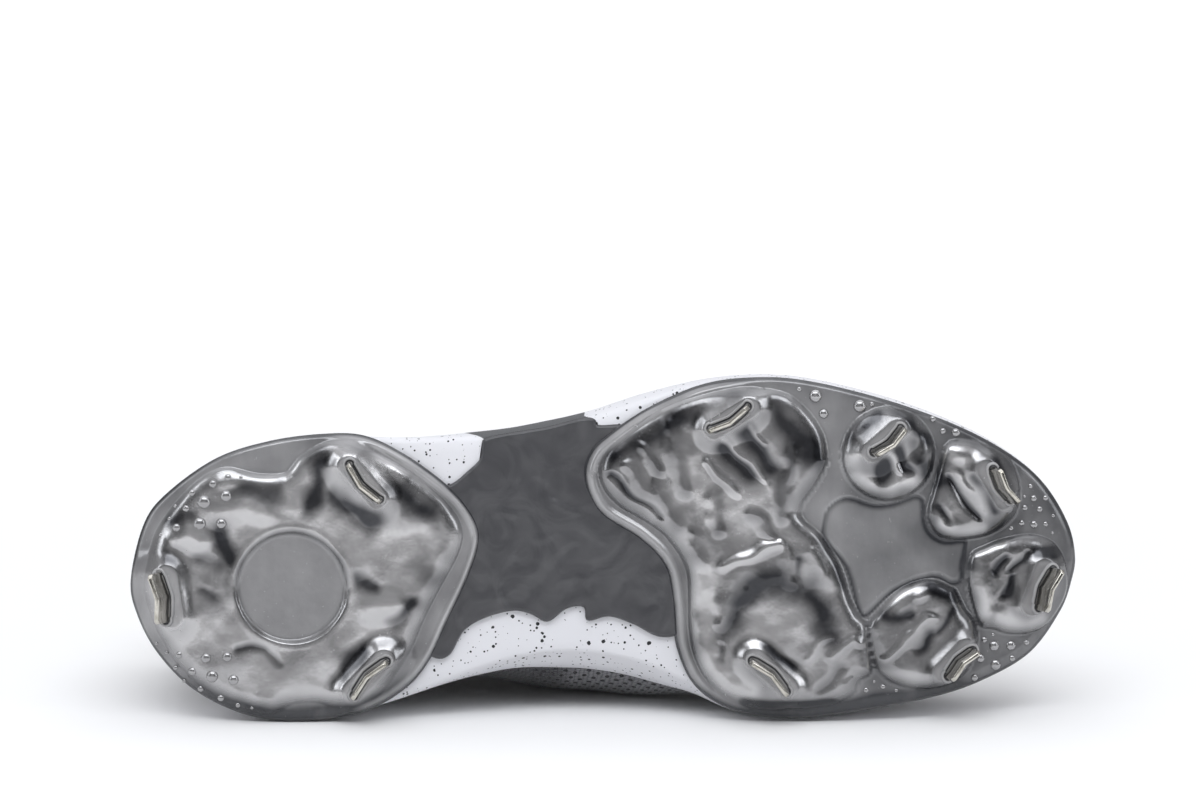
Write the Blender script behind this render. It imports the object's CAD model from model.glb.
"""Looks of a baseball cleat, right shoe, lying on its medial side.

Each piece is shaped on the standing shoe, heel at x = 0, toe towards +X, medial side towards
+Y and the foot above, in metres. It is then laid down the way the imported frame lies.
"""

import logging
import math
from collections.abc import Callable
from dataclasses import dataclass
from enum import Enum

import bpy
import numpy as np
from mathutils import Euler, Matrix, Vector


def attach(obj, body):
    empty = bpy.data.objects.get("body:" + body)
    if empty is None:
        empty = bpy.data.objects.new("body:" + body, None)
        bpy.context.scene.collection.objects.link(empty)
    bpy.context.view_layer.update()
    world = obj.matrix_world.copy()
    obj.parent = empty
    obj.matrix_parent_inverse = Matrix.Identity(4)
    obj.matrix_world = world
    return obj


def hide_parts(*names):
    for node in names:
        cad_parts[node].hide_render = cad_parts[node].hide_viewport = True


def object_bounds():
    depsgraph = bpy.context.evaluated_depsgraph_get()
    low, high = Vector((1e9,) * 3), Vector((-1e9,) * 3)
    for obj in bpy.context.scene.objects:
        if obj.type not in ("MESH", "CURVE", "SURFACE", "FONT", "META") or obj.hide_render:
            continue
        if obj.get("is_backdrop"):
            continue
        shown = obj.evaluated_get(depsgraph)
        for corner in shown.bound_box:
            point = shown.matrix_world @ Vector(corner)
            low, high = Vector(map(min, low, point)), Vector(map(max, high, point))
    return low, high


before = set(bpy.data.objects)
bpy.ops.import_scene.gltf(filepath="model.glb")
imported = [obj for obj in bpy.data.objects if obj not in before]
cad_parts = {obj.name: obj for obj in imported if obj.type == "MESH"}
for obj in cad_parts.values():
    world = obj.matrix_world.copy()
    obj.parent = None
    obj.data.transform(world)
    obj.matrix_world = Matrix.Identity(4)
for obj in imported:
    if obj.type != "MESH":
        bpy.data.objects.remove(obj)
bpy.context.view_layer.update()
BODY = "root"
LOG = logging.getLogger("cleat")

# Short names of the types that the hints use most
Array = np.ndarray
Piece = bpy.types.Object
Finish = bpy.types.Material
Socket = bpy.types.NodeSocket
Colour = tuple[float, float, float]

# Turn and place that lay the standing shoe on its side
LAY_TURN = (-1.6932440996170044, -0.01043685432523489, 0.0)
LAY_PLACE = (-0.1500488668680191, -0.042525045573711395, 0.05294892564415932)
MM = 0.001
MERGE = 1e-6

# How wide and how high the plates' flowing forms are moulded, and how they wander
FLOW_SPREAD = 1.5
FLOW_RISE = 0.7
FLOW_BEND = 0.001
FLOW_WAVE = 0.013


class Side(Enum):
    """Side of the shoe, with the sign of its outward normal in plan."""

    LATERAL = 1.0
    MEDIAL = -1.0

    @property
    def other(self) -> "Side":
        """The opposite side."""
        return Side(-self.value)


@dataclass(frozen=True)
class SoleSizes:
    """Named sizes of the sole, in metres."""

    length: float = 0.3
    ball_width: float = 0.108
    heel_width: float = 0.09
    heel_stack: float = 0.0205
    ball_stack: float = 0.0128
    toe_stack: float = 0.0098
    toe_spring: float = 0.015
    arch_rise: float = 0.005
    plate_wall: float = 0.0022
    gap: float = 0.0003


@dataclass(frozen=True)
class UpperSizes:
    """Named sizes of the upper, in metres."""

    heel_height: float = 0.085
    instep_height: float = 0.1
    wall: float = 0.0018
    feather_inset: float = 0.01
    collar_pad: float = 0.0045
    collar_front: float = 0.4
    overlay_gap: float = 0.00035
    overlay_wall: float = 0.001


SOLE = SoleSizes()
UPPER = UpperSizes()

# Tread face along the shoe: share of length, share of toe spring, share of arch rise
TREAD_ROWS = (
    (0, 0.28, 0), (0.06, 0.09, 0), (0.15, 0, 0), (0.28, 0, 0), (0.37, 0, 0.4), (0.45, 0, 1), (0.52, 0, 0.9),
    (0.6, 0, 0.3), (0.68, 0, 0), (0.76, 0.04, 0), (0.84, 0.2, 0), (0.92, 0.53, 0), (1, 1, 0),
)

# Foot bed above the tread face: shares of the heel, ball and toe stacks
STACK_ROWS = (
    (0, 0.9, 0, 0), (0.1, 0.97, 0, 0), (0.25, 1, 0, 0), (0.45, 0.35, 0.5, 0), (0.6, 0, 1, 0),
    (0.75, 0, 1, 0), (0.9, 0, 0.4, 0.6), (1, 0, 0, 1),
)

# Gap in plan from the sole's outline to the feather edge: shares of the feather inset
FEATHER_ROWS = (
    (0, 0.75), (0.06, 0.95), (0.14, 1), (0.26, 0.9), (0.38, 0.42), (0.5, 0.32), (0.62, 0.42), (0.75, 0.46),
    (0.9, 0.5), (1, 0.55),
)

# Outlines: share of the length, share of the width there, medial positive, and the row at the front
SOLE_OUTLINE = (
    (0, 0.095), (0.015, -0.1), (0.041, -0.21), (0.093, -0.329), (0.15, -0.388), (0.208, -0.411),
    (0.3, -0.4), (0.386, -0.392), (0.44, -0.396), (0.49, -0.41), (0.545, -0.447), (0.608, -0.486),
    (0.666, -0.5), (0.722, -0.487), (0.803, -0.43), (0.876, -0.352), (0.93, -0.268), (0.967, -0.178),
    (0.992, -0.06), (1.002, 0.045), (0.997, 0.12), (0.983, 0.215), (0.949, 0.334), (0.894, 0.414),
    (0.839, 0.458), (0.763, 0.492), (0.7, 0.507), (0.64, 0.49), (0.59, 0.418), (0.53, 0.358), (0.47, 0.345),
    (0.41, 0.378), (0.352, 0.45), (0.3, 0.52), (0.246, 0.572), (0.184, 0.6), (0.123, 0.579), (0.067, 0.49),
    (0.028, 0.36), (0.006, 0.22),
)
SOLE_FRONT_ROW = 19

HEEL_PLATE_OUTLINE = SOLE_OUTLINE[:6] + (
    (0.25, -0.402), (0.29, -0.338), (0.33, -0.24), (0.357, -0.145), (0.3695, -0.04), (0.358, 0.095),
    (0.334, 0.26), (0.316, 0.385), (0.29, 0.488), (0.246, 0.568),
) + SOLE_OUTLINE[-5:]
HEEL_PLATE_FRONT_ROW = 10

FORE_PLATE_OUTLINE = (
    (0.48, -0.235), (0.488, -0.299), (0.507, -0.345), (0.551, -0.416), (0.608, -0.477), (0.666, -0.495),
    (0.722, -0.48), (0.803, -0.421), (0.876, -0.343), (0.93, -0.259), (0.967, -0.168), (0.992, -0.052),
    (1, 0.045), (0.996, 0.12), (0.983, 0.212), (0.949, 0.332), (0.894, 0.412), (0.839, 0.456),
    (0.763, 0.49), (0.7, 0.506), (0.64, 0.487), (0.597, 0.417), (0.576, 0.3), (0.572, 0.17), (0.564, 0.06),
    (0.538, -0.02), (0.5, -0.092), (0.485, -0.16),
)
FORE_PLATE_FRONT_ROW = 12

WAIST_OUTLINE = (
    (0.27, -0.15), (0.322, -0.212), (0.341, -0.228), (0.356, -0.264), (0.37, -0.305), (0.3725, -0.345),
    (0.3755, -0.374), (0.4, -0.384), (0.44, -0.388), (0.48, -0.402), (0.4925, -0.392), (0.496, -0.374),
    (0.525, -0.366), (0.56, -0.33), (0.64, -0.15), (0.64, 0.15), (0.59, 0.245), (0.56, 0.27), (0.53, 0.235),
    (0.505, 0.215), (0.482, 0.232), (0.478, 0.19), (0.46, 0.198), (0.44, 0.243), (0.422, 0.22),
    (0.403, 0.212), (0.375, 0.238), (0.352, 0.285), (0.336, 0.372), (0.318, 0.38), (0.29, 0.3), (0.26, 0.1),
)
WAIST_FRONT_ROW = 14

# Raised forms in plan, in millimetres from the heel and from the middle line, medial positive
HEEL_BODY = (
    (4.3, 12.3), (5.6, 2.7), (8.4, -6.9), (15.4, -16.5), (23.9, -24.2), (31.6, -26.8), (40.1, -24.8),
    (49.3, -24.8), (53.8, -29.6), (60.1, -33.5), (66.1, -34.8), (73.1, -32.5), (79.5, -30.2), (89.3, -24.4),
    (98.1, -17.4), (103.7, -10.8), (105.6, -5), (104.2, 1.4), (98.7, 11.4), (93.3, 21.6), (88.9, 31.6),
    (84, 39.3), (77.9, 46.6), (66.8, 50.2), (58.8, 48.2), (50.9, 48.6), (44.6, 51.6), (35, 49.5),
    (23.9, 44.4), (14.4, 35.4), (8.1, 24.5),
)
POD_REAR = (
    (148.6, -24.5), (150.2, -18.1), (155.2, -12.7), (161.3, -9.1), (168.3, -4.3), (173, 1.4), (175.9, 7.5),
    (176.5, 14.6), (176.5, 24.8), (177.8, 33.8), (181.3, 41.5), (187.3, 48), (196.8, 51.4), (209.5, 51.8),
    (221.5, 50.6), (228.8, 47.2), (231, 43), (234.5, 40.5), (234.2, 31.6), (233.3, 24.9), (230.7, 22),
    (227.9, 16.2), (225, 6.6), (218.7, -3.7), (213.2, -8.8), (213.2, -13), (217.7, -19.4), (220.9, -25.5),
    (221.2, -28.4), (219.9, -35.4), (215.8, -42.1), (209.8, -47.6), (202.2, -49.8), (192, -50.2),
    (180.9, -48.3), (168.3, -43.7), (157.2, -36), (150.8, -30.4),
)
POD_TOE_LATERAL = (
    (258.3, -31.2), (264.4, -32.9), (271.3, -30.9), (278, -27.1), (281.2, -22), (282.4, -15.9),
    (280.8, -9.1), (276.7, -5), (271, -2.1), (262.8, -1.1), (256.7, -2.1), (253.3, -5.9), (252.3, -11.1),
    (254.9, -19.7),
)
POD_TOE_TIP = (
    (265.9, 4), (271.3, 0.8), (276.7, -1.1), (284.6, -2.4), (291.6, -0.5), (295.6, 4), (297.3, 10.1),
    (297, 16.8), (294.2, 22.3), (290, 27.1), (284.6, 29.3), (278, 29.3), (273.5, 27.7), (269.6, 26.9),
    (267.5, 22.9), (265.3, 13.9),
)
POD_BALL_MEDIAL = (
    (233.3, 24.9), (236.4, 20.7), (241.8, 15.5), (247.2, 12.3), (253.9, 11.1), (259.3, 13.3), (261.5, 14.6),
    (264.4, 20.7), (266.9, 23.9), (268.5, 29), (267.5, 34.8), (265, 40.5), (259.9, 44.4), (252.9, 46),
    (245.3, 45.4), (239.6, 43.1), (235.5, 38.6), (233.8, 31.6),
)
FORE_RECESS = (
    (219.6, -9.8), (222.2, -13.6), (226, -15.5), (229.8, -15.2), (235.5, -13.3), (241.8, -13.6),
    (248.5, -15.9), (251.7, -14.3), (252.3, -8.8), (253.9, -4.3), (258.3, -1.4), (265.3, -1.1),
    (264.4, 6.9), (264.4, 10.1), (262.8, 13), (259.3, 13.3), (253.9, 11.1), (241.8, 15.5), (233.3, 22.9),
    (229.8, 20.7), (226, 7.2), (219, -2.1),
)

# Spikes: centre in shares, heading from the toe direction towards medial, length share, side
# that the bend points to, lean
SPIKE_ROWS = (
    ("spike_heel_1", 0.2475, -0.24, 50, 1, -1, 0), ("spike_heel_2", 0.042, 0.155, 81, 1, 1, -8),
    ("spike_heel_3", 0.251, 0.44, 134, 1.02, -1, 0), ("spike_fore_1", 0.636, -0.375, -31, 0.94, -1, 0),
    ("spike_fore_2", 0.798, -0.305, -40, 0.8, -1, 2), ("spike_fore_3", 0.914, -0.17, 58, 0.8, -1, 2),
    ("spike_fore_4", 0.959, 0.135, 114, 0.9, -1, 2), ("spike_fore_5", 0.87, 0.345, 136, 0.8, -1, 0),
    ("spike_fore_6", 0.675, 0.372, 43, 1, 1, 0),
)

# Columns of the upper: around, x, y, heel, instep, low out, low up, high out, high down
LATERAL_COLUMNS = (
    (0, 0.03, 0.079, 1, 0, 0.045, 0.21, -0.03, 0.22),
    (0.08, 0.044, -0.047, 0.99, 0, 0.045, 0.2, -0.025, 0.22),
    (0.16, 0.09, -0.152, 0.93, 0, 0.04, 0.2, -0.01, 0.2),
    (0.24, 0.155, -0.19, 0.86, 0, 0.03, 0.18, 0.01, 0.16),
    (0.33, 0.245, -0.199, 0.82, 0, 0.03, 0.18, 0.03, 0.14),
    (0.39, 0.315, -0.19, 0.42, 0.5, 0.035, 0.22, 0.07, 0.2),
    (0.45, 0.372, -0.17, 0, 1, 0.04, 0.26, 0.11, 0.25),
    (0.53, 0.45, -0.144, 0, 0.925, 0.04, 0.26, 0.15, 0.22),
    (0.61, 0.54, -0.125, 0, 0.83, 0.04, 0.24, 0.18, 0.16),
    (0.69, 0.62, -0.106, 0, 0.74, 0.04, 0.22, 0.21, 0.11),
    (0.77, 0.667, -0.07, 0, 0.69, 0.035, 0.2, 0.25, 0.08),
    (0.87, 0.684, -0.02, 0, 0.67, 0.03, 0.19, 0.34, 0.07),
    (1, 0.689, 0.028, 0, 0.665, 0.02, 0.19, 0.43, 0.07),
)
MEDIAL_COLUMNS = (
    (0, 0.03, 0.079, 1, 0, 0.045, 0.21, -0.03, 0.22),
    (0.08, 0.044, 0.205, 0.99, 0, 0.045, 0.2, -0.025, 0.22),
    (0.16, 0.09, 0.31, 0.94, 0, 0.04, 0.2, -0.01, 0.2),
    (0.24, 0.155, 0.348, 0.88, 0, 0.03, 0.18, 0.01, 0.16),
    (0.33, 0.245, 0.357, 0.84, 0, 0.08, 0.18, 0.06, 0.14),
    (0.39, 0.315, 0.335, 0.42, 0.52, 0.18, 0.17, 0.185, 0.3),
    (0.45, 0.372, 0.3, 0, 1, 0.27, 0.16, 0.29, 0.4),
    (0.53, 0.45, 0.258, 0, 0.925, 0.255, 0.17, 0.305, 0.36),
    (0.61, 0.54, 0.218, 0, 0.83, 0.11, 0.18, 0.26, 0.24),
    (0.69, 0.62, 0.17, 0, 0.74, 0.03, 0.19, 0.24, 0.13),
    (0.77, 0.667, 0.123, 0, 0.69, 0.03, 0.2, 0.28, 0.08),
    (0.87, 0.684, 0.074, 0, 0.67, 0.025, 0.19, 0.35, 0.07),
    (1, 0.689, 0.028, 0, 0.665, 0.02, 0.19, 0.43, 0.07),
)


def smooth_rows(places: list[float], values: list[float], where: Array) -> Array:
    """Read a monotone cubic through table rows.

    Args:
        places: Where each row stands.
        values: What each row says.
        where: Places to read.

    Returns:
        One value for each place.
    """
    xs = np.asarray(places, float)
    ys = np.asarray(values, float)
    span = np.diff(xs)
    slope = np.diff(ys) / span
    tangent = np.zeros_like(ys)
    tangent[0] = slope[0]
    tangent[-1] = slope[-1]
    for row in range(1, len(xs) - 1):
        before, after = slope[row - 1], slope[row]
        if before * after > 0:
            weight_a = 2 * span[row] + span[row - 1]
            weight_b = span[row] + 2 * span[row - 1]
            tangent[row] = (weight_a + weight_b) / (weight_a / before + weight_b / after)
    where = np.clip(np.asarray(where, float), xs[0], xs[-1])
    cell = np.clip(np.searchsorted(xs, where, side="right") - 1, 0, len(span) - 1)
    t = (where - xs[cell]) / span[cell]
    rise = (t**3 - 2 * t**2 + t) * tangent[cell] + (t**3 - t**2) * tangent[cell + 1]
    return (2 * t**3 - 3 * t**2 + 1) * ys[cell] + (3 * t**2 - 2 * t**3) * ys[cell + 1] + span[cell] * rise


def table_column(rows: tuple, column: int, where: Array) -> Array:
    """Read one column of a table at places along its first column."""
    return smooth_rows([row[0] for row in rows], [row[column] for row in rows], where)


def ease(t: Array) -> Array:
    """Smooth step from 0 to 1."""
    t = np.clip(t, 0.0, 1.0)
    return t * t * (3 - 2 * t)


def rounded(depth: Array, width: float) -> Array:
    """Quarter-round shoulder from 0 at an edge to 1 at a width inside it."""
    t = np.clip(depth / width, 0.0, 1.0)
    return np.sqrt(1 - (1 - t)**2)


def joined_heights(a: Array, b: Array, blend: float) -> Array:
    """Larger of two heights, with a soft fillet where they meet."""
    near = np.maximum(blend - np.abs(a - b), 0.0) / blend
    return np.maximum(a, b) + near * near * blend / 4


def local_width(along: Array) -> Array:
    """Width that an across share refers to: heel width behind, ball width in front."""
    forward = ease((np.asarray(along) - 0.3) / 0.3)
    return SOLE.heel_width + (SOLE.ball_width - SOLE.heel_width) * forward


def plan_points(rows: tuple) -> Array:
    """Table shares as plan points in metres."""
    shares = np.array([row[:2] for row in rows], float)
    return np.column_stack([shares[:, 0] * SOLE.length, shares[:, 1] * local_width(shares[:, 0])])


def unit(vectors: Array) -> Array:
    """Vectors along the last axis, brought to length one."""
    return vectors / np.linalg.norm(vectors, axis=-1)[..., None]


def spline(a: Array, b: Array, c: Array, d: Array, t: Array) -> Array:
    """Smooth curve from b to c, led by the points before and after them."""
    return 0.5 * (2 * b + (c - a) * t + (2 * a - 5 * b + 4 * c - d) * t**2 + (3 * b - a - 3 * c + d) * t**3)


def with_leads(points: Array) -> Array:
    """Points with one more in line at each end."""
    return np.vstack([2 * points[0] - points[1], points, 2 * points[-1] - points[-2]])


def closed_curve(points: Array, steps: int = 24) -> Array:
    """Run a smooth closed curve through plan points.

    Args:
        points: Points in order round the shape.
        steps: Points of the curve between two of them.

    Returns:
        Points of the curve.
    """
    t = (np.arange(steps) / steps)[None, :, None]
    a, b, c, d = (np.roll(points, -shift, axis=0)[:, None, :] for shift in (-1, 0, 1, 2))
    return spline(a, b, c, d, t).reshape(-1, points.shape[1])


def run_along(points: Array) -> Array:
    """Length of a curve up to each of its points."""
    return np.concatenate([[0.0], np.cumsum(np.linalg.norm(np.diff(points, axis=0), axis=1))])


def run_round(rings: Array) -> Array:
    """Length round each ring up to each of its points."""
    step = np.linalg.norm(np.diff(rings, axis=1), axis=2)
    return np.concatenate([np.zeros((len(rings), 1)), np.cumsum(step, axis=1)], axis=1)


def read_at(values: Array, run: Array, targets: Array) -> Array:
    """What a curve's points hold at given lengths along it."""
    return np.column_stack([np.interp(targets, run, column) for column in values.T])


def even_points(curve: Array, shares: Array) -> Array:
    """Points at given shares of a curve's length."""
    run = run_along(curve)
    return read_at(curve, run, np.asarray(shares) * run[-1])


def crowded(count: int, crowd: float) -> Array:
    """Shares from 0 to 1, closer together at both ends."""
    even = np.linspace(0.0, 1.0, count + 1)
    return crowd * (1 - np.cos(np.pi * even)) / 2 + (1 - crowd) * even


def outline_sides(rows: tuple, front_row: int, count: int, crowd: float) -> tuple[Array, Array]:
    """Split an outline into its lateral and medial halves, both from the rear to the front.

    Args:
        rows: Outline as shares.
        front_row: Row at the front tip.
        count: Steps along each half.
        crowd: How much closer the points stand at both ends.

    Returns:
        Points of the lateral and of the medial half.
    """
    steps = 24
    curve = closed_curve(plan_points(rows), steps)
    front = front_row * steps
    shares = crowded(count, crowd)
    lateral = even_points(curve[:front + 1], shares)
    medial = even_points(np.vstack([curve[front:], curve[:1]])[::-1], shares)
    return lateral, medial


def loop_of(lateral: Array, medial: Array) -> Array:
    """Closed loop from its two halves."""
    return np.vstack([lateral, medial[-2:0:-1]])


def loop_normals(loop: Array) -> Array:
    """Outward plan normals of a closed loop."""
    tangent = np.roll(loop, -1, axis=0) - np.roll(loop, 1, axis=0)
    normal = unit(np.column_stack([tangent[:, 1], -tangent[:, 0]]))
    area = np.sum(loop[:, 0] * np.roll(loop[:, 1], -1) - np.roll(loop[:, 0], -1) * loop[:, 1])
    return normal if area > 0 else -normal


def moved_sides(lateral: Array, medial: Array, outwards: float) -> tuple[Array, Array]:
    """Move both halves of an outline outwards.

    Args:
        lateral: Lateral half.
        medial: Medial half.
        outwards: Distance, negative to go inwards.

    Returns:
        The moved halves.
    """
    loop = loop_of(lateral, medial)
    moved = loop + loop_normals(loop) * outwards
    count = len(lateral) - 1
    return moved[:count + 1], np.vstack([moved[:1], moved[:count - 1:-1]])


def tread_height(x: Array) -> Array:
    """Height of the tread face at a place along the shoe."""
    along = np.asarray(x) / SOLE.length
    return (SOLE.toe_spring * table_column(TREAD_ROWS, 1, along)
            + SOLE.arch_rise * table_column(TREAD_ROWS, 2, along))


def bed_height(x: Array) -> Array:
    """Height of the foot bed at a place along the shoe."""
    along = np.asarray(x) / SOLE.length
    return (tread_height(x) + SOLE.heel_stack * table_column(STACK_ROWS, 1, along)
            + SOLE.ball_stack * table_column(STACK_ROWS, 2, along)
            + SOLE.toe_stack * table_column(STACK_ROWS, 3, along))


def depth_inside(points: Array, outline: Array) -> Array:
    """Measure how deep plan points lie inside a closed outline.

    Args:
        points: Plan points.
        outline: Corners of the outline in order.

    Returns:
        Distance to the outline, negative outside it.
    """
    x, y = points[..., 0], points[..., 1]
    nearest = np.full(x.shape, np.inf)
    inside = np.zeros(x.shape, bool)
    for a, b in zip(outline, np.roll(outline, -1, axis=0)):
        edge = b - a
        t = np.clip(((x - a[0]) * edge[0] + (y - a[1]) * edge[1]) / (edge @ edge), 0, 1)
        nearest = np.minimum(nearest, (x - a[0] - t * edge[0])**2 + (y - a[1] - t * edge[1])**2)
        crosses = (a[1] > y) != (b[1] > y)
        rise = b[1] - a[1] if b[1] != a[1] else 1e-12
        inside ^= crosses & (x < a[0] + (y - a[1]) * edge[0] / rise)
    return np.where(inside, 1.0, -1.0) * np.sqrt(nearest)


def ruled_grid(lateral: Array, medial: Array, across: int) -> Array:
    """Grid of points between two halves of an outline."""
    share = np.linspace(0.0, 1.0, across + 1)[None, :, None]
    return lateral[:, None, :] * (1 - share) + medial[:, None, :] * share


def with_height(plan: Array, height: Array) -> Array:
    """Plan points with heights as 3-D points."""
    return np.concatenate([plan, np.broadcast_to(height, plan.shape[:-1])[..., None]], axis=-1)


def undulation(points: Array, wave: float, seed: int) -> Array:
    """Smooth pattern of swells and hollows, about -1 to 1.

    Args:
        points: Plan points.
        wave: Usual distance between two swells.
        seed: Number that fixes the pattern.

    Returns:
        One height for each point.
    """
    draw = np.random.default_rng(seed)
    total = np.zeros(points.shape[:-1])
    for _ in range(8):
        angle, phase, bend = draw.uniform(0, 2 * math.pi, 3)
        pace = 2 * math.pi / (wave * draw.uniform(0.75, 1.7))
        ahead = points[..., 0] * math.cos(angle) + points[..., 1] * math.sin(angle)
        aside = points[..., 1] * math.cos(angle) - points[..., 0] * math.sin(angle)
        total += np.sin(pace * ahead + phase + 1.1 * np.sin(0.7 * pace * aside + bend))
    return total / 4


def outline_grid(outline: tuple, front_row: int, steps: tuple[int, int],
                 crowd: float) -> tuple[Array, Array, Array]:
    """Lay a grid of plan points over an outline.

    Args:
        outline: Outline as shares.
        front_row: Row at the front tip.
        steps: Steps along and across.
        crowd: How much closer the points stand at both ends.

    Returns:
        The points, their depth inside the outline, and a coarse grid for the back.
    """
    lateral, medial = outline_sides(outline, front_row, steps[0], crowd)
    plan = ruled_grid(lateral, medial, steps[1])
    depth = depth_inside(plan, closed_curve(plan_points(outline), 8))
    depth[:, [0, -1]] = 0.0
    return plan, depth, ruled_grid(lateral, medial, 2)


def near_line(points: Array, line: tuple, wide: tuple[float, float]) -> Array:
    """Find how near plan points are to the middle of a rounded line.

    Args:
        points: Plan points.
        line: Start and end in millimetres.
        wide: Widths at the start and at the end, in millimetres.

    Returns:
        From 0 at the line's edge to 1 along its middle.
    """
    ax, ay, bx, by = (value * MM for value in line)
    dx, dy = bx - ax, by - ay
    run = dx * dx + dy * dy + 1e-12
    t = np.clip(((points[..., 0] - ax) * dx + (points[..., 1] - ay) * dy) / run, 0, 1)
    away = np.hypot(points[..., 0] - ax - t * dx, points[..., 1] - ay - t * dy)
    half = 0.5 * MM * (wide[0] * (1 - t) + wide[1] * t)
    return ease(1 - away / half)


def flow_forms(points: Array, rows: tuple) -> tuple[Array, Array]:
    """Add up the hand-placed forms of a plate.

    Args:
        points: Plan points.
        rows: Forms: start, end, both widths and rise in millimetres, and how much darker they are.

    Returns:
        Height and darkness.
    """
    blank = np.zeros(points.shape[:-1])
    hills, hollows, shades, lights = blank, blank, blank, blank
    drift = [undulation(points, FLOW_WAVE, seed) for seed in (5, 6)]
    points = points + FLOW_BEND * np.stack(drift, axis=-1)
    for ax, ay, bx, by, first, last, rise, dark in rows:
        near = near_line(points, (ax, ay, bx, by), (FLOW_SPREAD * first, FLOW_SPREAD * last))
        hills = np.maximum(hills, rise * near)
        hollows = np.minimum(hollows, rise * near)
        shades = np.maximum(shades, dark * near)
        lights = np.minimum(lights, dark * near)
    return FLOW_RISE * MM * (hills + hollows), shades + lights


# Mesh making


def deselect_all() -> None:
    """Leave edit mode and select nothing."""
    if bpy.context.mode != "OBJECT":
        bpy.ops.object.mode_set(mode="OBJECT")
    bpy.ops.object.select_all(action="DESELECT")


def only(piece: Piece) -> None:
    """Make one object the selected and active one."""
    deselect_all()
    piece.select_set(True)
    bpy.context.view_layer.objects.active = piece


def grid_surface(name: str, points: Array) -> Piece:
    """Add a primitive grid and move its corners to a form's rows and columns.

    Args:
        name: Name of the piece.
        points: Rows of columns of 3-D points.

    Returns:
        The surface.
    """
    rows, columns = points.shape[:2]
    deselect_all()
    bpy.ops.mesh.primitive_grid_add(x_subdivisions=columns - 1, y_subdivisions=rows - 1, size=1.0)
    piece = bpy.context.active_object
    piece.name = name
    piece.data.name = name
    piece.data.vertices.foreach_set("co", np.ascontiguousarray(points, float).reshape(-1))
    piece.data.update()
    return piece


def store_layer(piece: Piece, name: str, values: Array) -> None:
    """Store one number a corner for a material to read, before the corners are merged."""
    layer = piece.data.attributes.new(name, "FLOAT", "POINT")
    layer.data.foreach_set("value", np.ascontiguousarray(values, float).reshape(-1))


def store_lay(piece: Piece, along: Array, across: Array) -> None:
    """Write the UV map in metres along and across the cloth.

    Args:
        piece: Piece before its corners are merged.
        along: First coordinate of each corner.
        across: Second coordinate of each corner.
    """
    flat = np.stack([np.broadcast_to(along, across.shape), across], axis=-1).reshape(-1, 2)
    mesh = piece.data
    corners = np.empty(len(mesh.loops), int)
    mesh.loops.foreach_get("vertex_index", corners)
    mesh.uv_layers[0].data.foreach_set("uv", flat[corners].reshape(-1))


def merge_closed(piece: Piece) -> None:
    """Merge the seams of a surface that closes on itself, with its faces outwards."""
    only(piece)
    bpy.ops.object.mode_set(mode="EDIT")
    bpy.ops.mesh.select_all(action="SELECT")
    bpy.ops.mesh.remove_doubles(threshold=MERGE)
    bpy.ops.mesh.normals_make_consistent(inside=False)
    bpy.ops.object.mode_set(mode="OBJECT")


def closing(rings: Array) -> Array:
    """Rings with the first entry of each repeated at its end."""
    return np.concatenate([rings, rings[:, :1]], axis=1)


def ring_solid(name: str, rings: Array) -> Piece:
    """Tube of rings, not merged yet, whose two end rings have shrunk to a line or a point."""
    return grid_surface(name, closing(rings))


def backed_solid(name: str, face: Array, back_plan: Array, lift: float) -> Piece:
    """Face closed by a plain back that lies a little above the tread face."""
    back = with_height(back_plan, tread_height(back_plan[..., 0]) + lift)
    return ring_solid(name, np.concatenate([face, back[:, ::-1]], axis=1))


def apply_modifiers(piece: Piece) -> None:
    """Apply each modifier of a piece in order."""
    only(piece)
    for modifier in list(piece.modifiers):
        bpy.ops.object.modifier_apply(modifier=modifier.name)


def bevel_edges(piece: Piece, width: float, angle: float) -> None:
    """Round the edges of a piece that are sharper than an angle in degrees."""
    bevel = piece.modifiers.new("edge", "BEVEL")
    bevel.width = width
    bevel.segments = 3
    bevel.limit_method = "ANGLE"
    bevel.angle_limit = math.radians(angle)
    apply_modifiers(piece)


def join_pieces(name: str, pieces: list[Piece]) -> Piece:
    """Join several objects into one.

    Args:
        name: Name of the joined piece.
        pieces: What is joined.

    Returns:
        The one piece.
    """
    deselect_all()
    for piece in pieces:
        piece.select_set(True)
    bpy.context.view_layer.objects.active = pieces[0]
    bpy.ops.object.join()
    pieces[0].name = name
    pieces[0].data.name = name
    return pieces[0]


def repeated(name: str, model: Piece, places: list[Matrix]) -> Piece:
    """Copy a small model to many places, as one piece.

    Args:
        name: Name of the piece.
        model: What is repeated. It is removed.
        places: Where each copy goes.

    Returns:
        The joined copies.
    """
    copies = []
    for place in places:
        copy = bpy.data.objects.new(name, model.data.copy())
        copy.data.transform(place)
        bpy.context.collection.objects.link(copy)
        copies.append(copy)
    bpy.data.objects.remove(model)
    return join_pieces(name, copies)


def lay_matrix() -> Matrix:
    """Matrix from the standing shoe to the lying one."""
    return Matrix.Translation(LAY_PLACE) @ Euler(LAY_TURN).to_matrix().to_4x4()


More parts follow.
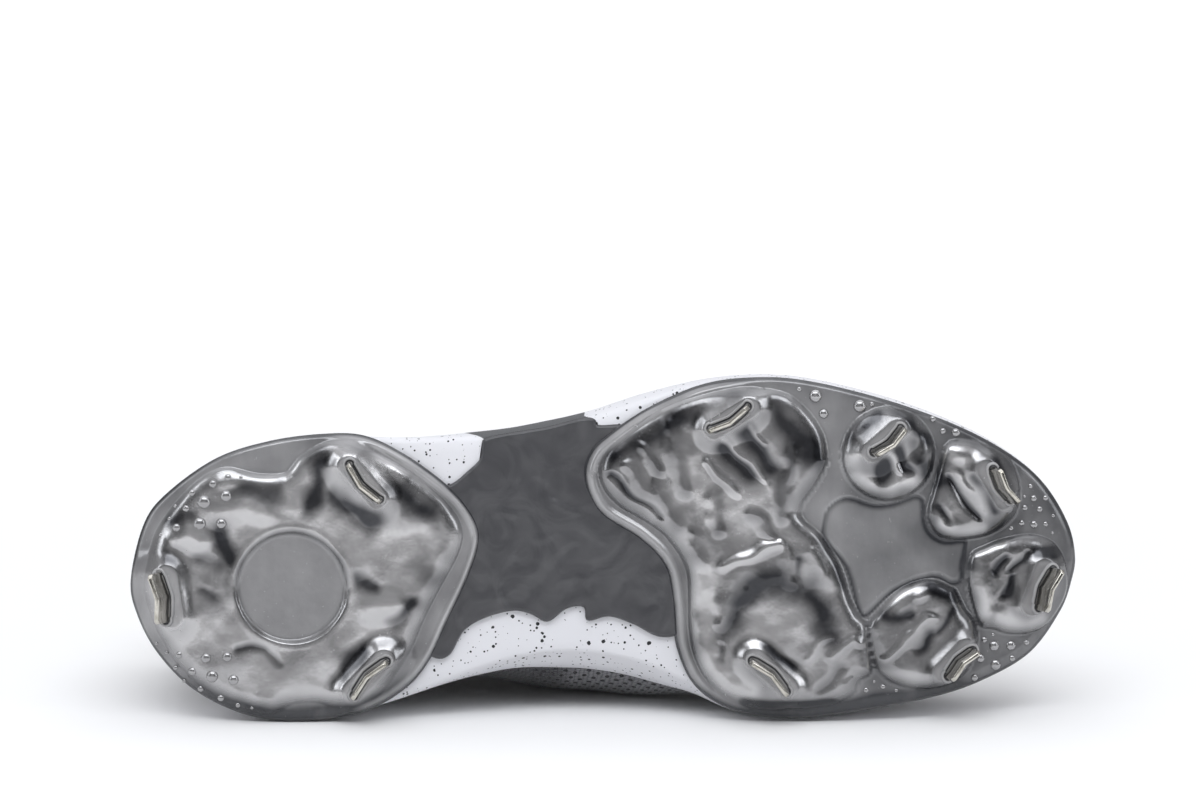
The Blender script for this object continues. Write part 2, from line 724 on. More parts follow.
def finish_piece(piece: Piece, materials: list[Finish],
                 nodes: tuple[str, ...] = (), smooth: float = 50.0) -> None:
    """Lay a piece down, dress it and tell the frame what it stands for.

    Args:
        piece: Piece on the standing shoe.
        materials: Materials in the order of its faces' indices.
        nodes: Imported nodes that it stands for.
        smooth: Largest angle in degrees that is shaded smooth.
    """
    piece.data.transform(lay_matrix())
    kept = np.empty(len(piece.data.polygons), int)
    piece.data.polygons.foreach_get("material_index", kept)
    piece.data.materials.clear()
    for material in materials:
        piece.data.materials.append(material)
    piece.data.polygons.foreach_set("material_index", np.minimum(kept, len(materials) - 1))
    only(piece)
    bpy.ops.object.shade_smooth_by_angle(angle=math.radians(smooth))
    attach(piece, BODY)
    if nodes:
        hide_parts(*nodes)
    LOG.info("%s: %d faces", piece.name, len(piece.data.polygons))


# Finishes


class NodeBoard:
    """Node tree of a material or of the air, written from left to right."""

    def __init__(self, owner: Finish | bpy.types.World) -> None:
        """Start on the tree of its owner."""
        owner.use_nodes = True
        self.owner = owner
        self.tree = owner.node_tree

    def node(self, kind: str, inputs: dict, **settings: object) -> bpy.types.Node:
        """Add a node.

        Args:
            kind: Node type.
            inputs: Value or socket for each input, by name or number.
            **settings: The node's own settings.

        Returns:
            The node.
        """
        made = self.tree.nodes.new(kind)
        for key, value in settings.items():
            setattr(made, key, value)
        for key, value in inputs.items():
            self.feed(made.inputs[key], value)
        return made

    def feed(self, socket: Socket, value: object) -> None:
        """Link a socket to an input, or set the input's value."""
        if isinstance(value, Socket):
            self.tree.links.new(value, socket)
        else:
            socket.default_value = value

    def place(self, scale: tuple[float, float, float] = (1, 1, 1)) -> Socket:
        """Coordinates of the shoe in metres, stretched by a scale."""
        base = self.node("ShaderNodeTexCoord", {}).outputs["Object"]
        return self.node("ShaderNodeMapping", {"Vector": base, "Scale": scale}).outputs[0]

    def cloth(self, scale: tuple[float, float, float] = (1, 1, 1), turn: float = 0.0) -> Socket:
        """Coordinates along and across the cloth in metres, stretched and turned."""
        base = self.node("ShaderNodeUVMap", {}).outputs[0]
        return self.node("ShaderNodeMapping", {"Vector": base, "Scale": scale,
                                               "Rotation": (0, 0, turn)}).outputs[0]

    def layer(self, name: str) -> Socket:
        """One number a corner, stored on the mesh."""
        return self.node("ShaderNodeAttribute", {}, attribute_name=name).outputs["Fac"]

    def noise(self, where: Socket, scale: float, detail: float = 3.0, distortion: float = 0.0) -> Socket:
        """Cloudy pattern from 0 to 1."""
        return self.node("ShaderNodeTexNoise", {"Vector": where, "Scale": scale, "Detail": detail,
                                                "Distortion": distortion}).outputs["Fac"]

    def cells(self, where: Socket, scale: float, scatter: float = 1.0) -> Socket:
        """Distance to the nearest of many scattered points."""
        return self.node("ShaderNodeTexVoronoi", {"Vector": where, "Scale": scale,
                                                  "Randomness": scatter}).outputs["Distance"]

    def wave(self, turn: float, scale: float, distortion: float = 0.0, detail: float = 2.0) -> Socket:
        """Even ribs across the cloth, turned by an angle."""
        return self.node("ShaderNodeTexWave", {"Vector": self.cloth((1, 1, 1), turn), "Scale": scale,
                                               "Distortion": distortion, "Detail": detail}).outputs["Fac"]

    def swing(self, pattern: Socket, reach: float) -> Socket:
        """Pattern moved to swing round zero."""
        return self.calc("MULTIPLY", self.calc("SUBTRACT", pattern, 0.5), reach)

    def calc(self, rule: str, a: object, b: object = 0.0, clamp: bool = False) -> Socket:
        """One step of arithmetic."""
        return self.node("ShaderNodeMath", {0: a, 1: b}, operation=rule, use_clamp=clamp).outputs[0]

    def span(self, value: object, low: float, high: float, to_low: float = 0.0,
             to_high: float = 1.0) -> Socket:
        """Map one range smoothly to another, held at both ends."""
        return self.node("ShaderNodeMapRange", {0: value, 1: low, 2: high, 3: to_low, 4: to_high},
                         interpolation_type="SMOOTHSTEP").outputs[0]

    def blend(self, share: object, a: object, b: object) -> Socket:
        """Mix two colours."""
        a = (*a, 1.0) if isinstance(a, tuple) else a
        b = (*b, 1.0) if isinstance(b, tuple) else b
        return self.node("ShaderNodeMix", {0: share, 6: a, 7: b}, data_type="RGBA").outputs[2]

    def bump(self, height: object, distance: float, strength: float = 1.0,
             normal: object = None) -> Socket:
        """Surface relief from a height."""
        inputs = {"Height": height, "Distance": distance, "Strength": strength}
        if normal is not None:
            inputs["Normal"] = normal
        return self.node("ShaderNodeBump", inputs).outputs[0]


class Recipe(NodeBoard):
    """Node tree of one material."""

    def __init__(self, name: str) -> None:
        """Start a material of a given name."""
        super().__init__(bpy.data.materials.new(name))

    def dress(self, inputs: dict) -> Finish:
        """Set the shader's inputs and give the material."""
        shader = self.tree.nodes["Principled BSDF"]
        for key, value in inputs.items():
            value = (*value, 1.0) if isinstance(value, tuple) else value
            self.feed(shader.inputs[key], value)
        return self.owner


@dataclass(frozen=True)
class SmokePlate:
    """Clear glossy plastic over a silvered layer: smoky where it is thick, pale where it is thin."""

    pale: Colour = (0.5, 0.495, 0.5)
    dark: Colour = (0.03, 0.031, 0.036)
    roughness: float = 0.2

    def build(self) -> Finish:
        """Make the material."""
        mix = Recipe("smoke_plate")
        place = mix.place()
        cloud = mix.noise(place, 75.0, 3.0)
        streak = mix.noise(mix.place((1.0, 1.0, 0.35)), 240.0, 3.0)
        fine = mix.noise(place, 900.0, 3.0)
        drift = mix.calc("ADD", mix.swing(cloud, 0.28), mix.swing(streak, 0.14))
        smoke = mix.calc("ADD", mix.layer("smoke"), drift, clamp=True)
        return mix.dress({
            "Base Color": mix.blend(smoke, self.pale, self.dark),
            "Metallic": mix.layer("silver"),
            "Roughness": mix.span(fine, 0.3, 0.8, self.roughness, self.roughness + 0.08),
            "Coat Weight": 0.5,
            "Coat Roughness": 0.05,
            "Normal": mix.bump(mix.noise(place, 300.0, 2.0), 0.00018, 0.35),
        })


@dataclass(frozen=True)
class PolishedSteel:
    """Bright steel with a faint warm tint and fine draw lines."""

    colour: Colour = (0.58, 0.56, 0.51)

    def build(self) -> Finish:
        """Make the material."""
        mix = Recipe("polished_steel")
        lines = mix.noise(mix.place((1, 0.08, 1)), 5200.0, 2.0)
        stain = mix.noise(mix.place(), 420.0, 3.0)
        return mix.dress({
            "Base Color": mix.blend(mix.span(stain, 0.45, 0.8), self.colour, (0.33, 0.31, 0.26)),
            "Metallic": 1.0,
            "Roughness": mix.span(stain, 0.3, 0.8, 0.12, 0.26),
            "Normal": mix.bump(lines, 0.00002, 0.5),
        })


@dataclass(frozen=True)
class SpeckledFoam:
    """White foam skin with black speckles of several sizes, wrapped in grey knit at the waist."""

    white: Colour = (0.74, 0.74, 0.77)
    black: Colour = (0.01, 0.01, 0.012)
    wrap: Colour = (0.072, 0.075, 0.08)
    yarn: Colour = (0.4, 0.4, 0.4)

    def build(self) -> Finish:
        """Make the material."""
        mix = Recipe("speckled_foam")
        place = mix.place()
        wobble = mix.noise(place, 1100.0, 2.0)
        specks: Socket | None = None
        for scale, share, size in ((210.0, 0.7, 0.58), (430.0, 0.56, 0.6), (820.0, 0.46, 0.55)):
            cells = mix.node("ShaderNodeTexVoronoi", {"Vector": place, "Scale": scale})
            draw = mix.node("ShaderNodeSeparateColor", {0: cells.outputs["Color"]}).outputs[0]
            reach = mix.calc("MULTIPLY", mix.calc("SUBTRACT", draw, share), size)
            away = mix.calc("ADD", cells.outputs["Distance"], mix.swing(wobble, 0.16))
            spot = mix.calc("LESS_THAN", away, reach)
            specks = spot if specks is None else mix.calc("MAXIMUM", specks, spot)
        grain = mix.noise(place, 2600.0, 2.0)
        knit = mix.cells(mix.place((1.0, 1.6, 1.0)), 900.0, 0.3)
        wrapped = mix.span(mix.layer("wrap"), 0.45, 0.55)
        knitted = mix.span(mix.layer("wrap"), 1.4, 1.6)
        yarn = mix.calc("MULTIPLY", knitted, mix.span(knit, 0.2, 0.6))
        skin = mix.blend(yarn, self.wrap, self.yarn)
        colour = mix.blend(wrapped, mix.blend(specks, self.white, self.black), skin)
        height = mix.calc("ADD", mix.calc("MULTIPLY", grain, 0.25), mix.calc("MULTIPLY", knitted, knit))
        return mix.dress({
            "Base Color": colour,
            "Roughness": mix.span(grain, 0.3, 0.7, 0.5, 0.66),
            "Sheen Weight": 0.1,
            "Normal": mix.bump(height, 0.0003, 0.4),
        })


@dataclass(frozen=True)
class WaistSkin:
    """Satin dark grey skin with soft folds and a fine grain."""

    colour: Colour = (0.041, 0.041, 0.046)

    def build(self) -> Finish:
        """Make the material."""
        mix = Recipe("waist_skin")
        place = mix.place()
        folds = mix.noise(place, 75.0, 2.0, 1.6)
        grain = mix.noise(place, 3000.0, 2.0)
        coarse = mix.bump(folds, 0.0014, 0.32)
        return mix.dress({
            "Base Color": mix.blend(mix.span(folds, 0.3, 0.75), self.colour, (0.066, 0.066, 0.071)),
            "Roughness": 0.36,
            "Coat Weight": 0.3,
            "Coat Roughness": 0.28,
            "Normal": mix.bump(grain, 0.00006, 0.4, coarse),
        })


@dataclass(frozen=True)
class EngineeredMesh:
    """Knitted mesh with small open cells, lighter towards the toe, with punched air holes."""

    light: Colour = (0.42, 0.42, 0.44)
    deep: Colour = (0.075, 0.075, 0.082)

    def build(self) -> Finish:
        """Make the material."""
        mix = Recipe("engineered_mesh")
        cells = mix.cells(mix.cloth((1.0, 1.5, 1.0)), 760.0, 0.25)
        ribs = mix.wave(0.5, 160.0, 1.5, 1.0)
        grid = mix.cloth((330.0, 330.0, 0.0), 0.35)
        parts = mix.node("ShaderNodeSeparateXYZ", {0: grid})
        fold_x = mix.calc("PINGPONG", parts.outputs[0], 0.5)
        fold_y = mix.calc("PINGPONG", parts.outputs[1], 0.5)
        centre = mix.calc("SQRT", mix.calc("ADD", mix.calc("MULTIPLY", fold_x, fold_x),
                                           mix.calc("MULTIPLY", fold_y, fold_y)))
        punched = mix.calc("MULTIPLY", mix.span(centre, 0.26, 0.2), mix.layer("punched"))
        hollow = mix.span(cells, 0.25, 0.6)
        base = mix.blend(mix.layer("shade"), self.light, self.deep)
        worn = mix.blend(mix.calc("MULTIPLY", hollow, 0.55), base, (0.05, 0.05, 0.055))
        knit = mix.calc("SUBTRACT", mix.calc("MULTIPLY", ribs, 0.35), hollow)
        height = mix.calc("SUBTRACT", knit, mix.calc("MULTIPLY", punched, 2.0))
        return mix.dress({
            "Base Color": mix.blend(punched, worn, (0.008, 0.008, 0.009)),
            "Roughness": 0.82,
            "Sheen Weight": 0.25,
            "Normal": mix.bump(height, 0.00035, 0.8),
        })


@dataclass(frozen=True)
class LiningCloth:
    """Soft brushed lining of one colour, with a close weave."""

    name: str
    colour: Colour
    weave: float = 900.0
    relief: float = 0.0002

    def build(self) -> Finish:
        """Make the material."""
        mix = Recipe(self.name)
        cells = mix.cells(mix.cloth((1.0, 0.7, 1.0)), self.weave, 0.15)
        nap = mix.noise(mix.place(), 1400.0, 3.0)
        shade = tuple(0.55 * part for part in self.colour)
        return mix.dress({
            "Base Color": mix.blend(mix.span(mix.calc("ADD", cells, nap), 0.5, 1.4), self.colour, shade),
            "Roughness": 0.92,
            "Sheen Weight": 0.4,
            "Normal": mix.bump(mix.calc("SUBTRACT", nap, cells), self.relief, 0.7),
        })


@dataclass(frozen=True)
class OverlayFilm:
    """Thin welded film with a satin face and a fine grain."""

    name: str
    colour: Colour
    roughness: float = 0.46

    def build(self) -> Finish:
        """Make the material."""
        mix = Recipe(self.name)
        place = mix.place()
        grain = mix.cells(place, 1500.0)
        cloud = mix.noise(place, 45.0, 3.0)
        shade = tuple(0.72 * part for part in self.colour)
        return mix.dress({
            "Base Color": mix.blend(mix.span(cloud, 0.35, 0.7), self.colour, shade),
            "Roughness": mix.span(cloud, 0.3, 0.7, self.roughness, self.roughness + 0.12),
            "Normal": mix.bump(grain, 0.00007, 0.5),
        })


@dataclass(frozen=True)
class LaceWeave:
    """Flat woven lace with a herringbone of fine yarns."""

    colour: Colour = (0.62, 0.62, 0.64)

    def build(self) -> Finish:
        """Make the material."""
        mix = Recipe("lace_weave")
        yarn = mix.calc("MULTIPLY", mix.wave(0.75, 420.0), mix.wave(-0.75, 420.0))
        return mix.dress({
            "Base Color": mix.blend(yarn, (0.4, 0.4, 0.42), self.colour),
            "Roughness": 0.85,
            "Sheen Weight": 0.3,
            "Normal": mix.bump(yarn, 0.00025, 0.8),
        })


@dataclass(frozen=True)
class PlainPaint:
    """Even satin colour with faint mottling, for small hardware and thread."""

    name: str
    colour: Colour
    roughness: float = 0.5
    metallic: float = 0.0

    def build(self) -> Finish:
        """Make the material."""
        mix = Recipe(self.name)
        mottle = mix.noise(mix.place(), 700.0, 3.0)
        shade = tuple(0.7 * part for part in self.colour)
        return mix.dress({
            "Base Color": mix.blend(mix.span(mottle, 0.35, 0.7), self.colour, shade),
            "Roughness": self.roughness,
            "Metallic": self.metallic,
            "Normal": mix.bump(mottle, 0.00005, 0.4),
        })


# Spikes

# Rim round a blade: distance from the blade, height above the stud, smokiness
SEAT_ROWS = (
    (0.0001, -0.0012, 1), (0.00015, 0.0001, 1), (0.0006, 0.00012, 1), (0.00078, 0.00048, 0.35),
    (0.0012, 0.00052, 0.22), (0.0015, 0.0001, 0.45), (0.0019, -0.0012, 0.75),
)


@dataclass
class Spikes:
    """Thin bent steel blades in narrow slots on the plates' studs."""

    length: float = 0.016
    thickness: float = 0.0016
    bend: float = math.radians(11)
    stud_height: float = 0.0052
    bevel: float = 0.00035
    cap_steps: int = 9
    seat_silver: float = 0.1

    def frames(self) -> list[tuple[str, Vector, Vector, Vector, float, int]]:
        """Find where each blade stands.

        Returns:
            Name, centre on the tread face, heading, axis, length and bend side of each.
        """
        found = []
        for name, along, across, heading, length, bend_side, lean in SPIKE_ROWS:
            x = along * SOLE.length
            step = 0.01 * SOLE.length
            slope = float(tread_height(x + step) - tread_height(x - step)) / (2 * step)
            tilt = math.atan(slope) + math.radians(lean)
            axis = Vector((math.sin(tilt), 0.0, -math.cos(tilt)))
            turned = Vector((math.cos(math.radians(heading)), math.sin(math.radians(heading)), 0.0))
            edge = (turned - axis * turned.dot(axis)).normalized()
            centre = Vector((x, across * float(local_width(along)), float(tread_height(x))))
            found.append((name, centre, edge, axis, length * self.length, bend_side))
        return found

    def slot_outline(self, length: float, grow: float) -> Array:
        """Rounded outline round a bent blade.

        Args:
            length: Length of the blade.
            grow: Distance from the blade's face.

        Returns:
            Points along and across the blade.
        """
        half = 0.5 * length
        rise = half * math.tan(self.bend)
        reach = 0.5 * self.thickness + grow
        lean = math.atan2(rise, half)
        turns = np.linspace(0, math.pi, self.cap_steps)
        tip = half - 0.5 * self.thickness
        right = [(tip + reach * math.sin(t - lean), reach * math.cos(t - lean)) for t in turns]
        left = [(-x, -y) for x, y in right]
        shares = np.linspace(-0.8, 0.8, 9)
        crest = rise * (1 - np.sqrt(shares**2 + 0.01)) + 0.1 * rise
        top = [(half * s, c + reach) for s, c in zip(shares, crest)]
        low = [(half * s, c - reach) for s, c in zip(shares[::-1], crest[::-1])]
        return np.array(top + right + low + left) - np.array((0.0, 0.5 * rise))

    def build_seats(self, plastic: Finish) -> None:
        """Set a raised rim round the root of each blade.

        Args:
            plastic: Finish of the plates.
        """
        for name, centre, edge, axis, length, bend_side in self.frames():
            side = axis.cross(edge).normalized() * bend_side
            rings = []
            for grow, height, _dark in SEAT_ROWS:
                outline = self.slot_outline(length, grow)
                base = np.array(centre + axis * (self.stud_height + height))
                rings.append(base + outline[:, :1] * np.array(edge) + outline[:, 1:] * np.array(side))
            rings = np.array(rings + rings[:1])
            piece = ring_solid(name.replace("spike", "seat"), rings)
            dark = np.array([row[2] for row in SEAT_ROWS + SEAT_ROWS[:1]])
            store_layer(piece, "smoke", np.repeat(dark[:, None], rings.shape[1] + 1, axis=1))
            store_layer(piece, "silver", np.full((len(rings), rings.shape[1] + 1), self.seat_silver))
            merge_closed(piece)
            finish_piece(piece, [plastic])

    def build(self, plastic: Finish) -> None:
        """Bevel a merged copy of each packed blade and set its rim.

        Args:
            plastic: Finish of the plates.
        """
        steel = PolishedSteel().build()
        to_standing = lay_matrix().inverted()
        for name, *_rest in self.frames():
            piece = bpy.data.objects.new(name + "_blade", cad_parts[name].data.copy())
            bpy.context.collection.objects.link(piece)
            only(piece)
            bpy.ops.object.mode_set(mode="EDIT")
            bpy.ops.mesh.select_all(action="SELECT")
            bpy.ops.mesh.remove_doubles(threshold=1e-5)
            bpy.ops.mesh.dissolve_limited(angle_limit=math.radians(2))
            bpy.ops.object.mode_set(mode="OBJECT")
            bevel_edges(piece, self.bevel, 18)
            piece.data.transform(to_standing)
            finish_piece(piece, [steel], (name,), 35.0)
        self.build_seats(plastic)


# Moulded plates


@dataclass
class MouldedPlate:
    """Glossy plate with raised forms on its tread face and a plain face above."""

    name: str
    node: str
    outline: tuple
    front_row: int
    spike_prefix: str
    steps: tuple[int, int]
    edge_round: float = 0.001
    border_width: float = 0.0011
    stud_height: float = 0.0052
    stud_flat: float = 0.0034
    stud_flank: float = 0.0085
    stud_border: float = 0.0016
    droplet_rise: float = 0.62
    shoulder: float = 0.0056
    droplets: tuple = ()
    flat_smoke: float = 0.54
    raised_clear: float = 0.34
    seat_smoke: float = 0.22
    bead_clear: float = 0.5
    flow_smoke: float = 0.14
    form_smoke: float = 1.2
    shade_smoke: float = 0.6
    flank_smoke: float = 0.8
    ripple_smoke: float = 0.05
    flat_silver: float = 0.3
    raised_silver: float = 0.6
    seat_silver: float = 0.4
    shade_from: float = 0.036
    shade_reach: float = 0.012

    def smoke_of(self, raised: Array, flow: Array, ripple: Array, tint: Array) -> Array:
        """Smokiness of the flange and of raised forms, which are darker on their flanks."""
        return (self.flat_smoke - self.raised_clear * raised + self.flow_smoke * flow
                + self.form_smoke * tint * raised + self.flank_smoke * raised * (1 - raised)
                + self.ripple_smoke * ripple * raised)

    def shaded_edge(self, plan: Array, depth: Array) -> Array:
        """How near points are to the darker medial edge, from 0 to 1."""
        return ease((plan[..., 1] - self.shade_from) / self.shade_reach) * ease((0.007 - depth) / 0.005)

    def toned(self, smoke: Array, silver: Array, near: Array, bead: Array) -> tuple[Array, Array]:
        """Smokiness and silvering, calmed round the blades and along the bead."""
        smoke = (smoke * (1 - 0.8 * near) + self.seat_smoke * near) * (1 - self.bead_clear * bead)
        silver = silver * (1 - near) + self.seat_silver * near
        return np.clip(smoke, 0, 1), np.clip(silver, 0.05, 0.92)

    def relief(self, plan: Array, depth: Array) -> tuple[Array, Array, Array]:
        """Height, smokiness and silvering of the tread face. Each plate has its own."""
        raise NotImplementedError

    def studs(self, plan: Array) -> tuple[Array, Array]:
        """Raise the mounds under this plate's spikes.

        Args:
            plan: Plan points.

        Returns:
            Their height, and how near each point is to a blade from 0 to 1.
        """
        height = np.zeros(plan.shape[:-1])
        near = np.zeros(plan.shape[:-1])
        for name, centre, edge, _axis, length, _side in Spikes().frames():
            if name.startswith(self.spike_prefix):
                dx = plan[..., 0] - centre.x
                dy = plan[..., 1] - centre.y
                lengthwise = np.abs(dx * edge.x + dy * edge.y)
                crosswise = -dx * edge.y + dy * edge.x
                away = np.hypot(np.maximum(lengthwise - 0.42 * length, 0.0), crosswise)
                fall = np.clip((away - self.stud_flat) / self.stud_flank, 0, 1)
                height = np.maximum(height, self.stud_height * (1 - fall)**2 * (1 + 1.2 * fall))
                reach = self.stud_flat + self.stud_border
                near = np.maximum(near, ease((reach - away) / self.stud_flat))
        return height, near

    def build(self, material: Finish) -> None:
        """Shape and dress the plate, with its droplets.

        Args:
            material: Finish of the plate.
        """
        plan, depth, back_plan = outline_grid(self.outline, self.front_row, self.steps, 0.45)
        height, smoke, silver = self.relief(plan, depth)
        border = 1 - ease(depth / self.border_width)
        smoke = np.clip(smoke + border, 0, 1)
        silver = silver * (1 - 0.8 * border)
        hold = ease(depth / 0.0012)
        lift = self.edge_round * (1 - rounded(depth + 1e-5, 0.004))
        face = with_height(plan, tread_height(plan[..., 0]) + lift - height * hold)
        piece = backed_solid(self.name, face, back_plan, SOLE.plate_wall)
        for name, values in (("smoke", smoke), ("silver", silver)):
            first = values[:, :1]
            store_layer(piece, name, np.concatenate([values, values[:, -1:], first, first, first], axis=1))
        merge_closed(piece)
        finish_piece(piece, [material], (self.node,), 60.0)
        self.build_droplets(material)

    def build_droplets(self, material: Finish) -> None:
        """Set small clear domes on the plate.

        Args:
            material: Finish of the plate.
        """
        deselect_all()
        bpy.ops.mesh.primitive_uv_sphere_add(segments=20, ring_count=12, radius=1.0)
        model = bpy.context.active_object
        rows = np.array(self.droplets) * MM
        plan = rows[:, None, :2]
        depth = depth_inside(plan, closed_curve(plan_points(self.outline), 8))
        height, _smoke, _silver = self.relief(plan, depth)
        places = []
        for (x, y, radius), rise in zip(rows, height[:, 0]):
            place = Matrix.Translation((x, y, float(tread_height(x)) - rise))
            places.append(place @ Matrix.Diagonal((radius, radius, self.droplet_rise * radius, 1)))
        piece = repeated(self.name + "_droplets", model, places)
        for layer, value in (("smoke", 0.3), ("silver", 0.85)):
            store_layer(piece, layer, np.full(len(piece.data.vertices), value))
        finish_piece(piece, [material])


# Forms of the heel body: start, end, both widths and rise in millimetres, darkness
HEEL_FLOWS = (
    (61, -28, 58, -15, 9, 9, -0.25, 0.7), (52.5, -27, 52.5, -14, 6, 6, 0.2, -0.45),
    (65, -17, 77, -9, 8, 8, -0.15, 0.7), (84, -20, 95, -12, 10, 9, -0.2, 0.65),
    (80, -30, 86, -24, 6, 6, 0.45, -0.6), (64, -3, 88, -1, 10, 10, 0, -0.4),
    (34, -21, 46, -18, 9, 9, -0.1, 0.45), (28, -13, 46, -11, 5, 5, 0.2, -0.15),
    (18, -6.4, 22, -3.6, 8.5, 7.5, 1.2, -0.7), (13, -10, 20, -11, 5, 5, -0.15, 0.6),
    (28, -6, 34, 4, 8, 8, -0.35, 0.8), (22, 2, 29, 3.5, 5, 6, -0.2, 0.45),
    (22, 12, 27, 14.5, 4, 4, -0.1, 0.45), (18, 7.5, 24, 9, 5, 5, 0.1, 0.15),
    (33, 2, 32, 13, 5, 4, -0.1, 0.45), (78, 17.8, 83, 17.2, 9.5, 8, 1.1, -0.6),
    (71.5, 9.5, 77, 12, 6, 5, -0.2, 0.7), (84, 22.5, 90, 17, 8, 6, -0.25, 0.75),
    (66, 40.5, 74, 31, 7, 7, -0.45, 0.75), (34.5, 30.3, 42, 30.8, 3, 3.5, -0.4, 0.6),
    (42, 30.8, 46.5, 35, 3.5, 2.4, -0.35, 0.55), (15, 23, 30, 27, 10, 10, 0.05, -0.35),
    (40, 41, 62, 43, 10, 10, 0.05, -0.35), (90, 3, 96, 9, 9, 8, 0.05, 0.35),
    (66, 30, 90, 20, 6, 7, 0, -0.25), (97, -8, 100, 2, 7, 7, 0.25, 0.15), (60, 30, 62, 40, 8, 8, 0.1, -0.3),
    (85, 32, 80, 40, 6, 6, 0.15, 0.2), (30, -22.5, 48, -24, 4, 3.5, 0.25, -0.4),
    (12, 2, 15, 3.5, 6, 6, 0, 0.45), (78, 29, 83, 30, 6, 6, 0, 0.4),
)


@dataclass
class HeelPlate(MouldedPlate):
    """Heel plate: one raised body with a round dish, a flange and a bead along its front."""

    body_height: float = 0.0028
    dish: tuple[float, float] = (0.0512, 0.0114)
    dish_radius: float = 0.0182
    dish_depth: float = 0.0015
    bead_height: float = 0.001
    bead_half: float = 0.0017
    front_from: float = 0.068
    dish_smoke: float = 0.5
    dish_silver: float = 0.35

    def relief(self, plan: Array, depth: Array) -> tuple[Array, Array, Array]:
        """Work out the face of the heel plate.

        Args:
            plan: Plan points.
            depth: Their depth inside the outline.

        Returns:
            Height, smokiness and silvering.
        """
        inside = depth_inside(plan, closed_curve(np.array(HEEL_BODY) * MM, 4))
        body = rounded(inside, self.shoulder)
        swell, tint = flow_forms(plan, HEEL_FLOWS)
        flow = undulation(plan, 0.022, 11)
        ripple = undulation(plan, 0.008, 3)
        reach = np.hypot(plan[..., 0] - self.dish[0], plan[..., 1] - self.dish[1])
        clear = ease((reach - self.dish_radius) / 0.003)
        height = body * (self.body_height + 0.00026 * flow + 0.00005 * ripple + swell * clear)
        front = ease((plan[..., 0] - self.front_from) / 0.008)
        bead = front * ease(1 - np.abs(depth - self.bead_half) / self.bead_half)
        height = joined_heights(height, self.bead_height * bead, 0.0004)
        studs, near = self.studs(plan)
        height = joined_heights(height, studs, 0.0022)
        bowl = ease((self.dish_radius - reach) / 0.0018)
        ring = np.exp(-((reach - self.dish_radius - 0.001) / 0.0008)**2)
        floor = self.body_height - self.dish_depth
        height = height * (1 - bowl) + floor * bowl + 0.00008 * ring
        line = np.exp(-((reach - self.dish_radius + 0.0006) / 0.0009)**2)
        low = self.shaded_edge(plan, depth)
        smoke = self.smoke_of(body, flow, ripple, tint * clear) + self.shade_smoke * low
        smoke = smoke * (1 - bowl) + self.dish_smoke * bowl + 0.42 * line
        silver = (self.flat_silver + self.raised_silver * body) * (1 - bowl) + self.dish_silver * bowl
        return height, *self.toned(smoke, silver * (1 - 0.7 * low), near, bead)


